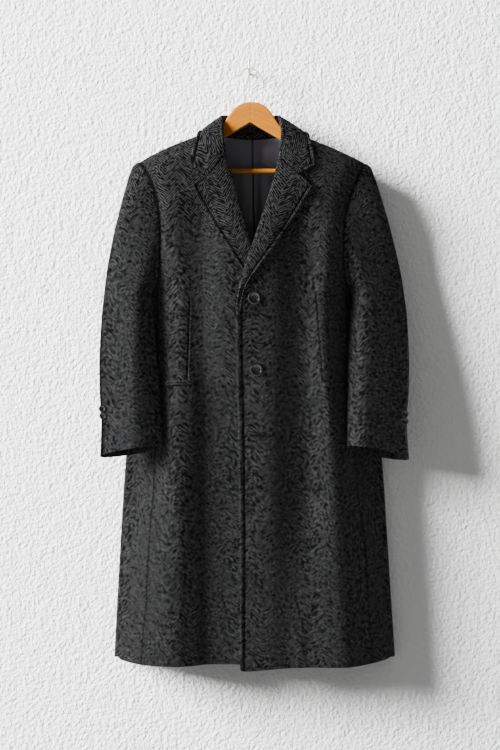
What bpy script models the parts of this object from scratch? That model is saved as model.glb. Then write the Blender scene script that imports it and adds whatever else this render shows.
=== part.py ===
"""Wool overcoat on a wooden hanger that hangs from a wall hook.

The coat is a set of cloth walls. Each wall is the middle surface of one cut piece, worked out from
sections of the coat, and a Solidify modifier gives it its thickness.

Frame: +X towards the wearer's left, +Z up, the wall is the plane Y = 0 and the coat hangs in front
of it, at negative Y. The origin is where the wall hook's shank meets the wall.

Lengths are millimetres until a mesh is made. A point of the coat is (x, drop, reach): drop is how
far it lies below the origin and reach is how far it stands out from the wall.
"""

import math

import bmesh
import bpy
import numpy as np
from mathutils import Vector

METRES = 0.001
RIGHT, LEFT = -1, 1  # the wearer's sides; the wearer's right is at negative x
SIDE_NAME = {RIGHT: "right", LEFT: "left"}

# Cloth
CLOTH = 2.5  # coating with its interlining
LINING = 1.2
SEAM = 0.45  # from a seam's line to the middle surface's edge on either side of it
ARMHOLE_GAP = 0.95  # the same at the armholes, where the pieces meet at an angle
ROLL_GAP = 0.9  # the same where a lapel's roll starts from its front
NECK_GAP = 1.7  # the same at the neck, where the collar's stand is square to the panels
GORGE_GAP = 0.7  # the same between lapel and collar, where they lie on the front
HEM_DROP_BACK = 1216.0
FOLDS_END = 1240.0  # where the folds' lower x is given
CENTRE_BACK_X = 4.0
BACK_REACH = 13.0

# Shoulders
RIDGE_FRONT_ROLL = 48.0
RIDGE_BACK_ROLL = 34.0

# Lapels and collar
ROLL_RADIUS = 3.4
LAPEL_LIFT = 3.4
LAPEL_BULGE = 1.5
COLLAR_LIFT = 4.2
COLLAR_BULGE_ON_FRONT = 1.2
COLLAR_BULGE = 1.8

# Front overlap
OVERLAP_LIFT = 4.2
OVERLAP_LIFT_AT_LAPEL = 10.2

# Buttons
FRONT_BUTTON_RADIUS = 13.6
SLEEVE_BUTTON_RADIUS = 7.3
FRONT_BUTTON_SEGMENTS = 24
SLEEVE_BUTTON_SEGMENTS = 14

# Hanger and hooks
HANGER_REACH = 45.0
HANGER_THICKNESS = 13.0
HANGER_EDGE = 2.5
HANGER_JOINT_X = 3.7
BAR_RADIUS = 5.2
BAR_DROP = 209.0
BAR_HALF_LENGTH = 184.0  # to the arms' turned-in ends
WIRE_RADIUS = 1.3
WALL_HOOK_RADIUS = 2.2
WALL_HOOK_REACH = 51.5
WALL_HOOK_RISE = 22.0
WALL_HOOK_BEND = 4.0
LOOP_RADIUS = 2.3


def table(columns, *rows):
    """Rows of sizes under named columns, as one array for each column."""
    return {name: np.array(values, float) for name, values in zip(columns.split(), zip(*rows))}


# Outline of the body at each side, also where a sleeve hides it.
SIDES = {
    RIGHT: table(
        "drop x",
        (190, -240), (230, -222), (280, -205), (460, -203), (516, -211.5), (578, -224), (640, -235),
        (722, -246.5), (800, -254.9), (1011, -268.1), (1210, -278.5), (1245, -280),
    ),
    LEFT: table(
        "drop x",
        (190, 252), (230, 234), (280, 217), (460, 214), (516, 223), (578, 236), (640, 248),
        (722, 262), (800, 274), (976, 286), (1096, 293.5), (1210, 301), (1245, 303),
    ),
}

# The front's section: how far its crest stands out, where its side edge stands, how far in from the
# side the crest is reached, and how full the flank is on the way.
FRONT_SECTION = table(
    "drop crest edge run power",
    (110, 60, 44, 60, 0.7),
    (200, 78, 44, 70, 0.7),
    (280, 86, 44, 75, 0.7),
    (400, 93, 40, 85, 0.8),
    (460, 96, 33, 95, 1.0),
    (520, 97, 29, 105, 1.2),
    (640, 97, 27, 112, 1.7),
    (800, 97, 27, 112, 1.75),
    (1000, 96, 28, 115, 1.25),
    (1245, 95, 30, 118, 1.0),
)

# Long soft folds: x at their top and bottom, the drops between which they run, the drop over which
# they fade in, their half width and their height towards the front.
FRONT_FOLDS = table(
    "x_top x_bottom start end fade width height",
    (-138, -146, 560, 1400, 220, 24, 7.0),
    (-84, -76, 470, 1400, 200, 24, -8.5),
    (34, 38, 500, 1100, 160, 26, 3.0),
    (98, 112, 440, 1010, 160, 22, -7.5),
    (186, 194, 520, 1400, 200, 22, 5.0),
    (104, 106, 1090, 1400, 110, 9, 6.0),
)
BACK_FOLDS = table(
    "x_top x_bottom start end fade width height",
    (-150, -176, 520, 1400, 260, 26, 6.0),
    (-88, -100, 600, 1400, 240, 24, -5.0),
    (72, 84, 560, 1400, 240, 26, -5.5),
    (140, 168, 500, 1400, 260, 24, 6.0),
)

# Shoulder line, the ridge between front and back.
SHOULDER = table(
    "x drop reach",
    (-245, 202, 48), (-223.5, 190.5, 48), (-198, 175.8, 48), (-163, 158.9, 48), (-116, 139.7, 47),
    (-80, 124.5, 43), (4, 100, 38), (88, 127.5, 43), (127.5, 143.8, 47), (174, 163, 48),
    (210, 180, 48), (236.5, 193.5, 48), (258, 205, 48),
)

# Armholes, by the angle round the arm: 0 on the shoulder, 90 in front, 180 under the arm.
ARMHOLES = {
    RIGHT: table(
        "angle x drop",
        (0, -223.5, 190.5), (30, -206, 217), (60, -187, 270), (90, -181, 333), (120, -183, 395),
        (150, -190, 441), (180, -204, 460), (210, -198, 443), (240, -188, 393), (270, -184, 330),
        (300, -187, 268), (330, -203, 215), (360, -223.5, 190.5),
    ),
    LEFT: table(
        "angle x drop",
        (0, 236.5, 193.5), (30, 222, 222), (60, 204, 268), (90, 193, 325), (120, 192, 390),
        (150, 200, 441), (180, 214, 461), (210, 209, 443), (240, 199, 393), (270, 195, 330),
        (300, 199, 266), (330, 216, 219), (360, 236.5, 193.5),
    ),
}

# Sleeves: outer and inner outline, the reach of the middle of their section and half its depth.
SLEEVES = {
    RIGHT: table(
        "drop outer inner middle half",
        (185, -234, -190, 48, 22), (220, -247, -186, 48, 30), (262, -259, -184, 49, 35),
        (330, -276, -184, 51, 38), (415, -292, -190, 53, 39), (460, -297.5, -204, 56, 38),
        (516, -302.6, -197.5, 61, 37), (599, -305.8, -190, 72, 34.5), (664, -304.5, -184, 81, 33),
        (730, -300.6, -179.5, 88, 31), (810, -303, -175.5, 94, 29.5),
    ),
    LEFT: table(
        "drop outer inner middle half",
        (185, 244, 200, 48, 22), (220, 257, 197, 48, 30), (262, 270.8, 195, 49, 35),
        (330, 290, 195, 51, 38), (425, 311.8, 201, 53, 39), (460, 317, 214.5, 56, 38),
        (516, 323.5, 207.5, 61, 37), (599, 326.4, 203, 72, 34.5), (664, 324.7, 202, 81, 33),
        (723, 320, 201, 88, 31), (810, 325, 198.5, 94, 29.5),
    ),
}
CUFF = {
    RIGHT: dict(outer=796.0, inner=775.5, sway=7.0),
    LEFT: dict(outer=801.0, inner=776.0, sway=8.5),
}
SLEEVE_FRONT_SEAM = 172.0
SLEEVE_BACK_SEAM = 346.0
SLEEVE_SEAM_HALF_ANGLE = 0.75
UNDERARM_SHIFT = 1.9  # body and sleeve hang back to back below the arm

# Seam between front and side body, from the armhole down to the hem.
SIDE_FRONT_SEAM = {
    RIGHT: table(
        "drop x",
        (441, -190), (520, -189), (640, -190), (818, -193.5), (968, -203.8), (1083, -210),
        (1178, -218.2), (1245, -222),
    ),
    LEFT: table(
        "drop x",
        (441, 200), (520, 202), (640, 207), (788, 217), (900, 225.6), (972, 237.1), (1086, 242.8),
        (1205, 252.3), (1245, 255),
    ),
}
SIDE_BACK_SEAM = {
    RIGHT: table("drop x", (443, -198), (560, -186), (700, -190), (900, -202), (1245, -226)),
    LEFT: table("drop x", (443, 209), (560, 200), (700, 208), (900, 222), (1245, 248)),
}
SIDE_FRONT_ANGLE, SIDE_BACK_ANGLE = 150.0, 210.0

# Hems.
FRONT_HEM = {
    RIGHT: table(
        "x drop",
        (-290, 1211), (-279, 1212.5), (-255, 1219.8), (-205, 1223.6), (-141, 1223.1), (-88, 1221),
        (-19, 1219.7), (60, 1219.7),
    ),
    LEFT: table(
        "x drop",
        (-20, 1233.4), (-5, 1233.1), (40, 1229.5), (98, 1225.6), (216, 1223.6), (280, 1216.9),
        (300, 1210), (310, 1209),
    ),
}

# Front edges below the lapels; the left front laps over the right one.
FRONT_EDGE = {
    RIGHT: table("drop x", (424, 34), (480, 40), (1245, 46)),
    LEFT: table(
        "drop x",
        (471, -22.3), (500, -26.8), (560, -27.6), (640, -25.8), (762, -22.8), (1087, -19.1),
        (1215, -19.1), (1245, -19.1),
    ),
}
CORNER_RADIUS = 9.0  # the left front's lower corner

# Lapels, from the gorge down: the visible roll edge and the outer edge across from it.
LAPELS = {
    RIGHT: table(
        "roll_x roll_drop edge_x edge_drop",
        (-49.5, 181, -117.7, 240.9), (-33, 232, -99, 279), (-15, 297, -74, 321),
        (3, 360, -41, 373), (13, 395, -19, 409), (20, 421, -6, 431),
    ),
    LEFT: table(
        "roll_x roll_drop edge_x edge_drop",
        (61, 186, 129.7, 245), (49.5, 232, 111, 277), (33, 285, 87, 316), (11, 352, 53, 367),
        (-8, 407, 20, 412), (-18.5, 447, -9, 449), (-22.3, 470, -16, 471),
    ),
}
NOTCH = {RIGHT: (-84.1, 223.4), LEFT: (100.8, 219.3)}

# Neck seam, collar fold and collar's outer edge, from the right gorge round the back to the left
# one. A reach of 0 stands for the front's or the back's own surface.
NECK_SEAM = table(
    "x drop behind",
    (-53.2, 179, 0), (-64, 157, 0), (-74.5, 137.5, 0), (-80, 124.5, 0), (-70, 127, 1),
    (-40, 134, 1), (4, 137.5, 1), (48, 134.5, 1), (78, 129, 1), (88, 127.5, 0), (83.5, 139, 0),
    (74.5, 160, 0), (64.6, 184, 0),
)
COLLAR_FOLD = table(
    "x drop reach",
    (-49.5, 181, 79.5), (-51.5, 152, 74), (-53.8, 126.4, 65), (-55, 106, 54), (-54.2, 95.2, 42),
    (-38, 93.5, 28), (4, 94.5, 19), (45, 93.5, 28), (58.7, 95.2, 42), (62.5, 106, 54),
    (66, 126.4, 65), (64.5, 155, 74), (61, 186, 80),
)
COLLAR_EDGE = table(
    "x drop reach",
    (-124.5, 197.3, 82), (-115.5, 165, 74), (-109.5, 144, 63), (-105.5, 130.7, 50),
    (-98, 129.5, 24), (-66, 145.5, 8), (4, 152, 7.6), (74, 146.5, 8), (110, 131.5, 24),
    (121.2, 133.6, 50), (126, 147, 63), (131, 168, 75), (136.2, 201.2, 83),
)

# Pocket welts.
POCKETS = {
    RIGHT: dict(start=-119.0, end=-186.0, drop=645.0, slope=0.03),
    LEFT: dict(start=150.5, end=202.0, drop=649.0, slope=0.03),
}
WELT_HEIGHT = 12.0
WELT_LIFT = 3.2
WELT_THICKNESS = 2.0

FRONT_BUTTONS = ((10.8, 473.1), (15.3, 618.7))
SLEEVE_BUTTONS = {RIGHT: (698.5, 713.3), LEFT: (709.0, 724.0)}
SLEEVE_BUTTON_ANGLE = 18.0

# Wooden hanger: outline of one arm, out from the joint, then the hooks' routes.
HANGER_ARM = (
    (0.0, 66.0), (13.5, 67.6), (25.0, 72.2), (36.0, 80.8), (44.8, 93.0), (57.8, 113.0),
    (70.0, 125.0), (84.0, 134.6), (104.0, 144.2), (120.0, 150.8), (163.0, 168.0), (192.0, 180.6),
    (203.0, 186.0), (209.0, 194.0), (210.0, 206.0), (207.0, 214.5), (200.0, 219.0), (190.0, 220.0),
    (184.0, 216.0), (184.0, 202.8), (176.0, 199.8), (160.0, 193.6), (100.0, 166.6), (57.0, 142.0),
    (0.0, 109.4),
)
HANGING_LOOP = (
    (-25.3, 130.2, 20.6), (-16, 126.4, 24.6), (-6, 124.0, 27.0), (4, 123.3, 27.8),
    (14, 123.9, 27.0), (25, 126.2, 24.4), (34.2, 129.8, 20.6),
)
HANGER_WIRE = (
    (4.7, 65.4), (4.7, 56.0), (4.9, 47.0), (9.6, 39.0), (19.4, 29.4), (23.4, 19.0), (21.1, 9.0),
    (13.2, 0.8), (0.6, -4.0), (-10.5, -0.6), (-15.9, 5.3), (-20.2, 10.4), (-25.2, 12.4),
)


# ---------------------------------------------------------------------------------------------
# Curves and sections


def smooth(keys, values, at):
    """The smooth curve through the values at their keys, which never overshoots them."""
    at = np.clip(np.asarray(at, float), keys[0], keys[-1])
    step = np.diff(keys)
    slope = np.diff(values) / step
    before, after = slope[:-1], slope[1:]
    turning = before * after <= 0
    sums = np.where(turning, 1.0, before + after)
    tangent = np.empty_like(keys)
    tangent[1:-1] = np.where(turning, 0.0, 2 * before * after / sums)
    tangent[0], tangent[-1] = slope[0], slope[-1]
    i = np.clip(np.searchsorted(keys, at, side="right") - 1, 0, len(keys) - 2)
    t = (at - keys[i]) / step[i]
    return (
        values[i] * (1 + 2 * t) * (1 - t) ** 2
        + values[i + 1] * t * t * (3 - 2 * t)
        + step[i] * t * (1 - t) * (tangent[i] * (1 - t) - tangent[i + 1] * t)
    )


def read(rows, column, at, key="drop"):
    """A table's column at a value of its key column."""
    return smooth(rows[key], rows[column], at)


def spline(points, count_between):
    """Points along the Catmull-Rom curve through the given points, which it keeps."""
    points = np.asarray(points, float)
    padded = np.vstack([2 * points[0] - points[1], points, 2 * points[-1] - points[-2]])
    out = []
    for a, b, c, d in zip(padded, padded[1:], padded[2:], padded[3:]):
        for t in np.arange(count_between) / count_between:
            out.append(
                0.5 * (2 * b + (c - a) * t + (2 * a - 5 * b + 4 * c - d) * t * t
                       + (3 * b - a - 3 * c + d) * t ** 3)
            )
    out.append(points[-1])
    return np.array(out)


def ease(t):
    """0 to 1 with flat ends."""
    t = np.clip(t, 0.0, 1.0)
    return t * t * (3 - 2 * t)


def quarter_round(t):
    """0 to 1 along a quarter circle that starts upright and ends flat."""
    t = np.clip(t, 0.0, 1.0)
    return np.sqrt(1 - (1 - t) ** 2)


def folds(rows, x, drop):
    """How far long soft folds stand out at a place."""
    total = 0.0
    for i in range(len(rows["x_top"])):
        start, end, fade = rows["start"][i], rows["end"][i], rows["fade"][i]
        along = np.clip((drop - start) / (min(end, FOLDS_END) - start), 0, 1)
        centre = rows["x_top"][i] + (rows["x_bottom"][i] - rows["x_top"][i]) * along
        strength = ease((drop - start) / fade) * ease((end - drop) / fade)
        width = rows["width"][i]
        total = total + rows["height"][i] * strength * np.exp(-(((x - centre) / width) ** 2))
    return total


def shoulder_roll(x, drop, reach, roll):
    """A front or back surface brought over the top to meet the shoulder line."""
    below = drop - read(SHOULDER, "drop", x, "x")
    ridge = read(SHOULDER, "reach", x, "x")
    return ridge + (reach - ridge) * quarter_round(below / roll)


def front_reach(x, drop):
    """Reach of the fronts' middle surface."""
    x, drop = np.broadcast_arrays(np.asarray(x, float), np.asarray(drop, float))
    side_x = np.where(x < 4, read(SIDES[RIGHT], "x", drop), read(SIDES[LEFT], "x", drop))
    edge = read(FRONT_SECTION, "edge", drop)
    share = np.clip(np.abs(x - side_x) / read(FRONT_SECTION, "run", drop), 0, 1)
    rise = np.sin(math.pi / 2 * share ** read(FRONT_SECTION, "power", drop))
    reach = edge + (read(FRONT_SECTION, "crest", drop) - edge) * rise
    return shoulder_roll(x, drop, reach + folds(FRONT_FOLDS, x, drop) * rise, RIDGE_FRONT_ROLL)


def back_reach(x, drop):
    """Reach of the back's middle surface."""
    x, drop = np.broadcast_arrays(np.asarray(x, float), np.asarray(drop, float))
    side_x = np.where(x < 4, read(SIDES[RIGHT], "x", drop), read(SIDES[LEFT], "x", drop))
    inside = ease(np.abs(x - side_x) / 40)
    reach = BACK_REACH + folds(BACK_FOLDS, x, drop) * inside
    return shoulder_roll(x, drop, reach, RIDGE_BACK_ROLL)


def overlap_lift(x, drop):
    """How far the left front stands above the right one, near the front edge."""
    height = OVERLAP_LIFT + (OVERLAP_LIFT_AT_LAPEL - OVERLAP_LIFT) * (1 - ease((drop - 440) / 90))
    return height * ease((drop - 270) / 80) * ease((92 - x) / 50)


def lapped_front_reach(side, x, drop):
    """Reach of one front's middle surface, with the left one lapped over the right."""
    reach = front_reach(x, drop)
    return reach + overlap_lift(x, drop) if side == LEFT else reach


def armhole(side, angle):
    """Point (x, drop, reach) of the armhole seam at an angle round the arm."""
    rows = ARMHOLES[side]
    x = read(rows, "x", angle, "angle")
    drop = read(rows, "drop", angle, "angle")
    front, back = front_reach(x, drop), back_reach(x, drop)
    turned = ease((np.asarray(angle, float) - SIDE_FRONT_ANGLE) / (SIDE_BACK_ANGLE - SIDE_FRONT_ANGLE))
    ends = np.where(np.asarray(angle, float) > 350, 0.0, turned)
    on_ridge = read(SHOULDER, "reach", x, "x")
    reach = front + (back - front) * ends
    return x, drop, np.where(np.asarray(angle, float) > 359.9, on_ridge, reach)


# ---------------------------------------------------------------------------------------------
# Scene helpers


def clear_scene():
    """Remove every object, so that the script can be run again."""
    for old in list(bpy.data.objects):
        bpy.data.objects.remove(old, do_unlink=True)


def new_collection(name):
    """A collection linked to the scene."""
    collection = bpy.data.collections.new(name)
    bpy.context.scene.collection.children.link(collection)
    return collection


def finish(name, colour, roughness, metallic=0.0):
    """A plain Principled material."""
    material = bpy.data.materials.new(name)
    material.use_nodes = True
    shader = material.node_tree.nodes["Principled BSDF"]
    shader.inputs["Base Color"].default_value = (*colour, 1.0)
    shader.inputs["Roughness"].default_value = roughness
    shader.inputs["Metallic"].default_value = metallic
    return material


def add_object(name, data, collection, material):
    """An object with one material, in a collection."""
    thing = bpy.data.objects.new(name, data)
    collection.objects.link(thing)
    data.materials.clear()
    data.materials.append(material)
    return thing


def place(x, drop, reach):
    """Millimetres of (x, drop, reach) as metres of (X, Y, Z)."""
    x, drop, reach = np.broadcast_arrays(x, drop, reach)
    return np.stack([x, -reach, -drop], axis=-1) * METRES


def cloth_sheet(name, grid, thickness, collection, material):
    """A closed cloth wall about a grid of middle-surface points, rows by columns."""
    rows, columns = grid.shape[:2]
    corners = [
        (r * columns + c, r * columns + c + 1, (r + 1) * columns + c + 1, (r + 1) * columns + c)
        for r in range(rows - 1)
        for c in range(columns - 1)
    ]
    mesh = bpy.data.meshes.new(name)
    mesh.from_pydata(grid.reshape(-1, 3).tolist(), [], corners)
    mesh.shade_smooth()
    sheet = add_object(name, mesh, collection, material)
    wall = sheet.modifiers.new("Wall", "SOLIDIFY")
    wall.thickness = thickness * METRES
    wall.offset = 0.0
    wall.use_rim = True
    return sheet


def wire(name, points, radius, collection, material, resolution=2):
    """A round wire through points in metres."""
    curve = bpy.data.curves.new(name, "CURVE")
    curve.dimensions = "3D"
    curve.bevel_depth = radius * METRES
    curve.bevel_resolution = resolution
    curve.use_fill_caps = True
    line = curve.splines.new("POLY")
    line.points.add(len(points) - 1)
    for point, at in zip(line.points, points):
        point.co = (*at, 1.0)
    return add_object(name, curve, collection, material)


# ---------------------------------------------------------------------------------------------
# Coat

PANEL_SHARES = (0.0, 0.02, 0.08, 0.17, 0.26, 0.36, 0.46, 0.56, 0.66, 0.75, 0.83, 0.9, 0.96, 1.0)
TUCK_DROP = 90.0
LAPEL_ROWS = 13
LAPEL_ANGLES = (150, 137, 124, 111, 98, 84, 70)
NECK_ANGLES = (58, 47, 37, 27, 18, 10, 5, 2, 0)
EDGE_COLUMNS = (0.0, 3.0, 9.0)
FRONT_COLUMNS = 9


def armhole_gap(angle):
    """From the armhole's line to a middle surface's edge, wider under the arm."""
    under = ease((angle - 135) / 30) * ease((225 - angle) / 30)
    return ARMHOLE_GAP + UNDERARM_SHIFT * float(under)


def body_armhole(side, angle):
    """The armhole as the body's edge: (x, drop)."""
    x, drop, _ = armhole(side, angle)
    return np.array([float(x) - side * armhole_gap(angle), float(drop)])


def side_seam(rows, side, drop):
    """x of a seam of the side body, which is tucked in below the arm."""
    tucked = 1 - ease((drop - rows["drop"][0]) / TUCK_DROP)
    return read(rows, "x", drop) - side * (armhole_gap(SIDE_FRONT_ANGLE) - SEAM) * tucked


def along_ridge(x, drop, share):
    """Drops across a row, curved like the shoulder line by a share."""
    ridge = read(SHOULDER, "drop", x, "x")
    chord = ridge[0] + (ridge[-1] - ridge[0]) * (x - x[0]) / (x[-1] - x[0])
    return drop + (ridge - chord) * share


def roll_edge(side, share):
    """A lapel's row at a share of its length: roll point, outer edge point, unit way across."""
    rows = LAPELS[side]
    index = np.arange(len(rows["roll_x"]), dtype=float)
    at = share * index[-1]
    roll = np.array([smooth(index, rows["roll_x"], at), smooth(index, rows["roll_drop"], at)])
    edge = np.array([smooth(index, rows["edge_x"], at), smooth(index, rows["edge_drop"], at)])
    across = (edge - roll) / np.linalg.norm(edge - roll)
    return roll, edge, across


def neck_seam(side):
    """One side's neck seam on the front, from the gorge up to the shoulder line, as (x, drop)."""
    points = np.stack([NECK_SEAM["x"], NECK_SEAM["drop"]], axis=1)
    return points[:4] if side == RIGHT else points[:8:-1]


def back_neck_seam(side):
    """One side's neck seam on the back, from the centre out to the shoulder line."""
    points = np.stack([NECK_SEAM["x"], NECK_SEAM["drop"]], axis=1)
    return points[6:2:-1] if side == RIGHT else points[6:10]


def front_outline(side):
    """Matching (x, drop) stations up a front's inner and outer edge, hem to shoulder."""
    seam_top = body_armhole(side, SIDE_FRONT_ANGLE)[1]
    lapel_end = LAPELS[side]["roll_drop"][-1]
    hem_in = read(FRONT_HEM[side], "drop", FRONT_EDGE[side]["x"][-1], "x")
    hem_out = read(FRONT_HEM[side], "drop", SIDE_FRONT_SEAM[side]["x"][-1], "x")
    inner, outer = [], []
    for share in PANEL_SHARES[:-1]:
        drop_in = hem_in + (lapel_end - hem_in) * share
        drop_out = hem_out + (seam_top - hem_out) * share
        inner.append((read(FRONT_EDGE[side], "x", drop_in), drop_in))
        outer.append((side_seam(SIDE_FRONT_SEAM[side], side, drop_out) - side * SEAM, drop_out))
    for row, angle in zip(range(LAPEL_ROWS - 1, -1, -2), LAPEL_ANGLES):
        roll, _, across = roll_edge(side, row / (LAPEL_ROWS - 1))
        inner.append(roll + across * (ROLL_RADIUS + ROLL_GAP))
        outer.append(body_armhole(side, angle))
    neck = spline(neck_seam(side), 3)
    for point, angle in zip(neck[-len(NECK_ANGLES):], NECK_ANGLES):
        inner.append(point + np.array([side, 1.0]) * NECK_GAP)
        outer.append(body_armhole(side, angle))
    return np.array(inner, float), np.array(outer, float)


def front_panel(side):
    """Middle surface of one front, rows from the hem up and columns from its inner edge out."""
    rows = []
    inner, outer = front_outline(side)
    first_neck_row = len(inner) - len(NECK_ANGLES)
    for index, (a, b) in enumerate(zip(inner, outer)):
        near = np.array(EDGE_COLUMNS) / abs(b[0] - a[0])
        across = np.append(near, near[-1] + (1 - near[-1]) * np.linspace(0, 1, FRONT_COLUMNS)[1:])
        x = a[0] + (b[0] - a[0]) * across
        drop = a[1] + (b[1] - a[1]) * across
        if index < len(PANEL_SHARES) - 1:
            hem = read(FRONT_HEM[side], "drop", x, "x")
            drop = drop + (hem - hem[0] - (hem[-1] - hem[0]) * across) * (1 - PANEL_SHARES[index])
            if side == LEFT and index == 0:
                corner = np.clip(1 - (x - a[0]) / CORNER_RADIUS, 0, 1)
                drop = drop - CORNER_RADIUS * (1 - np.sqrt(1 - corner**2))
        if index >= first_neck_row:
            drop = along_ridge(x, drop, (index - first_neck_row) / (len(NECK_ANGLES) - 1))
        reach = lapped_front_reach(side, x, drop)
        if index == len(inner) - 1:
            reach = read(SHOULDER, "reach", x, "x") + SEAM
        rows.append(place(x, drop, reach))
    return np.array(rows)


BACK_SHOULDER_ROWS = ((0.25, 228), (0.5, 248), (0.72, 268), (0.88, 286), (1.0, 300))
BACK_NECK_ANGLES = (308, 316, 324, 332, 339, 345, 350, 354, 358, 360)
BACK_COLUMNS = 8
BACK_ARM_DROP = 455.0


def back_panel(side):
    """Middle surface of one half of the back, rows from the hem up, columns from the centre out."""
    seam_top = body_armhole(side, SIDE_BACK_ANGLE)[1]
    neck = spline(back_neck_seam(side), 4)
    neck_drop = neck[0][1] + NECK_GAP
    inner, outer = [], []
    for share in PANEL_SHARES:
        drop = HEM_DROP_BACK + (seam_top - HEM_DROP_BACK) * share
        inner.append((CENTRE_BACK_X, HEM_DROP_BACK + (BACK_ARM_DROP - HEM_DROP_BACK) * share))
        outer.append((side_seam(SIDE_BACK_SEAM[side], side, drop) - side * SEAM, drop))
    for share, angle in BACK_SHOULDER_ROWS:
        inner.append((CENTRE_BACK_X, BACK_ARM_DROP + (neck_drop - BACK_ARM_DROP) * share))
        outer.append(body_armhole(side, angle))
    for point, angle in zip(neck[-len(BACK_NECK_ANGLES):], BACK_NECK_ANGLES):
        inner.append(point + np.array([0.0, NECK_GAP]))
        outer.append(body_armhole(side, angle))
    rows = []
    across = np.linspace(0, 1, BACK_COLUMNS)
    first_neck_row = len(inner) - len(BACK_NECK_ANGLES)
    for index, (a, b) in enumerate(zip(np.array(inner, float), np.array(outer, float))):
        start = a[0] + side * SEAM
        x = start + (b[0] - start) * across
        drop = a[1] + (b[1] - a[1]) * across
        if index >= first_neck_row:
            drop = along_ridge(x, drop, (index - first_neck_row) / (len(BACK_NECK_ANGLES) - 1))
        reach = back_reach(x, drop)
        if index == len(inner) - 1:
            reach = read(SHOULDER, "reach", x, "x") - SEAM
        rows.append(place(x, drop, reach))
    return np.array(rows)


FLANK_END, ROUND_END = 0.42, 0.74
SIDE_WAYS = (0.0, 0.14, 0.28, 0.42, 0.5, 0.58, 0.66, 0.74, 0.87, 1.0)


def side_section(side, drop, way):
    """Point (x, reach) of the body's side at a drop, from the front seam round to the back seam."""
    outline = read(SIDES[side], "x", drop)
    radius = (read(FRONT_SECTION, "edge", drop) - BACK_REACH) / 2
    turn_x = outline - side * radius
    front_x = side_seam(SIDE_FRONT_SEAM[side], side, drop) + side * SEAM
    back_x = side_seam(SIDE_BACK_SEAM[side], side, drop) + side * SEAM
    if way <= FLANK_END:
        x = front_x + (turn_x - front_x) * way / FLANK_END
        return x, front_reach(x, drop)
    if way >= ROUND_END:
        x = turn_x + (back_x - turn_x) * (way - ROUND_END) / (1 - ROUND_END)
        return x, back_reach(x, drop)
    turn = math.pi * (way - FLANK_END) / (ROUND_END - FLANK_END)
    front, back = front_reach(turn_x, drop), back_reach(turn_x, drop)
    reach = (front + back) / 2 + (front - back) / 2 * math.cos(turn)
    return turn_x + side * radius * math.sin(turn), reach


def side_panel(side):
    """Middle surface of one side body, rows from the armhole down, columns front to back."""
    columns = []
    for way in SIDE_WAYS:
        angle = SIDE_FRONT_ANGLE + (SIDE_BACK_ANGLE - SIDE_FRONT_ANGLE) * way
        _, top_drop, top_reach = armhole(side, angle)
        top_x = body_armhole(side, angle)[0] + 2 * side * SEAM * (way in (0.0, 1.0))
        section_x, section_reach = side_section(side, top_drop, way)
        bottom = HEM_DROP_BACK
        if way <= FLANK_END:
            bottom_x = side_section(side, HEM_DROP_BACK, way)[0]
            bottom = float(read(FRONT_HEM[side], "drop", bottom_x, "x"))
        elif way < ROUND_END:
            edge_drop = float(read(FRONT_HEM[side], "drop", SIDES[side]["x"][-1], "x"))
            bottom = edge_drop + (HEM_DROP_BACK - edge_drop) * ease(
                (way - FLANK_END) / (ROUND_END - FLANK_END)
            )
        column = []
        for share in PANEL_SHARES[::-1]:
            drop = bottom + (top_drop - bottom) * share
            x, reach = side_section(side, drop, way)
            near = 1 - ease((drop - top_drop) / TUCK_DROP)
            column.append(
                place(x + (top_x - section_x) * near, drop, reach + (top_reach - section_reach) * near)
            )
        columns.append(column)
    return np.array(columns).transpose(1, 0, 2)


SLEEVE_SHARES = (
    0.0, 0.004, 0.012, 0.03, 0.06, 0.1, 0.16, 0.24, 0.33, 0.43, 0.54, 0.66, 0.78, 0.9, 1.0,
)


def sleeve_section(side, angle, drop):
    """Point (x, reach) of the sleeve's oval section at an angle round the arm."""
    rows = SLEEVES[side]
    outer, inner = read(rows, "outer", drop), read(rows, "inner", drop)
    turn = math.radians(angle)
    x = (outer + inner) / 2 + side * abs(outer - inner) / 2 * math.cos(turn)
    return x, read(rows, "middle", drop) + read(rows, "half", drop) * math.sin(turn)


SLEEVE_HEAD_BLEND = 10.0  # drop over which the armhole's shape turns into the sleeve's section
SLEEVE_UNDERARM_BLEND = 60.0
SLEEVE_FRONT_BLEND = 200.0


def sleeve_point(side, angle, share):
    """Point (x, drop, reach) of a sleeve, at an angle round the arm and a share of its length."""
    turn = math.radians(angle)
    around = angle % 360
    x, top_drop, top_reach = armhole(side, around)
    top_x = x + side * armhole_gap(around)
    cuff = CUFF[side]
    cuff_drop = (
        (cuff["outer"] + cuff["inner"]) / 2
        + (cuff["outer"] - cuff["inner"]) / 2 * math.cos(turn)
        - cuff["sway"] * math.sin(turn)
    )
    drop = top_drop + (cuff_drop - top_drop) * share
    shortest = SLEEVE_HEAD_BLEND if math.cos(turn) > 0 else SLEEVE_UNDERARM_BLEND
    blend = shortest + (SLEEVE_FRONT_BLEND - shortest) * abs(math.sin(turn)) ** 1.2
    held = 1 - quarter_round((drop - top_drop) / blend)
    section_x, section_reach = sleeve_section(side, angle, top_drop)
    x, reach = sleeve_section(side, angle, drop)
    return x + (top_x - section_x) * held, drop, reach + (top_reach - section_reach) * held


def sleeve_panel(side, first, last, columns):
    """Middle surface of one piece of a sleeve between two angles round the arm."""
    angles = np.linspace(first + SLEEVE_SEAM_HALF_ANGLE, last - SLEEVE_SEAM_HALF_ANGLE, columns)
    return np.array(
        [[place(*sleeve_point(side, angle, share)) for angle in angles] for share in SLEEVE_SHARES]
    )


ROLL_STEPS = 4
FALL_WAYS = (0.18, 0.41, 0.65, 0.88)  # shares of the way to the edge's stitched band
EDGE_BAND = 8.0
NARROW_BAND_WAY = 0.85
NOTCH_SHARE = 0.3  # share of a lapel's length over which its top edge's corner fades out


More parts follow.
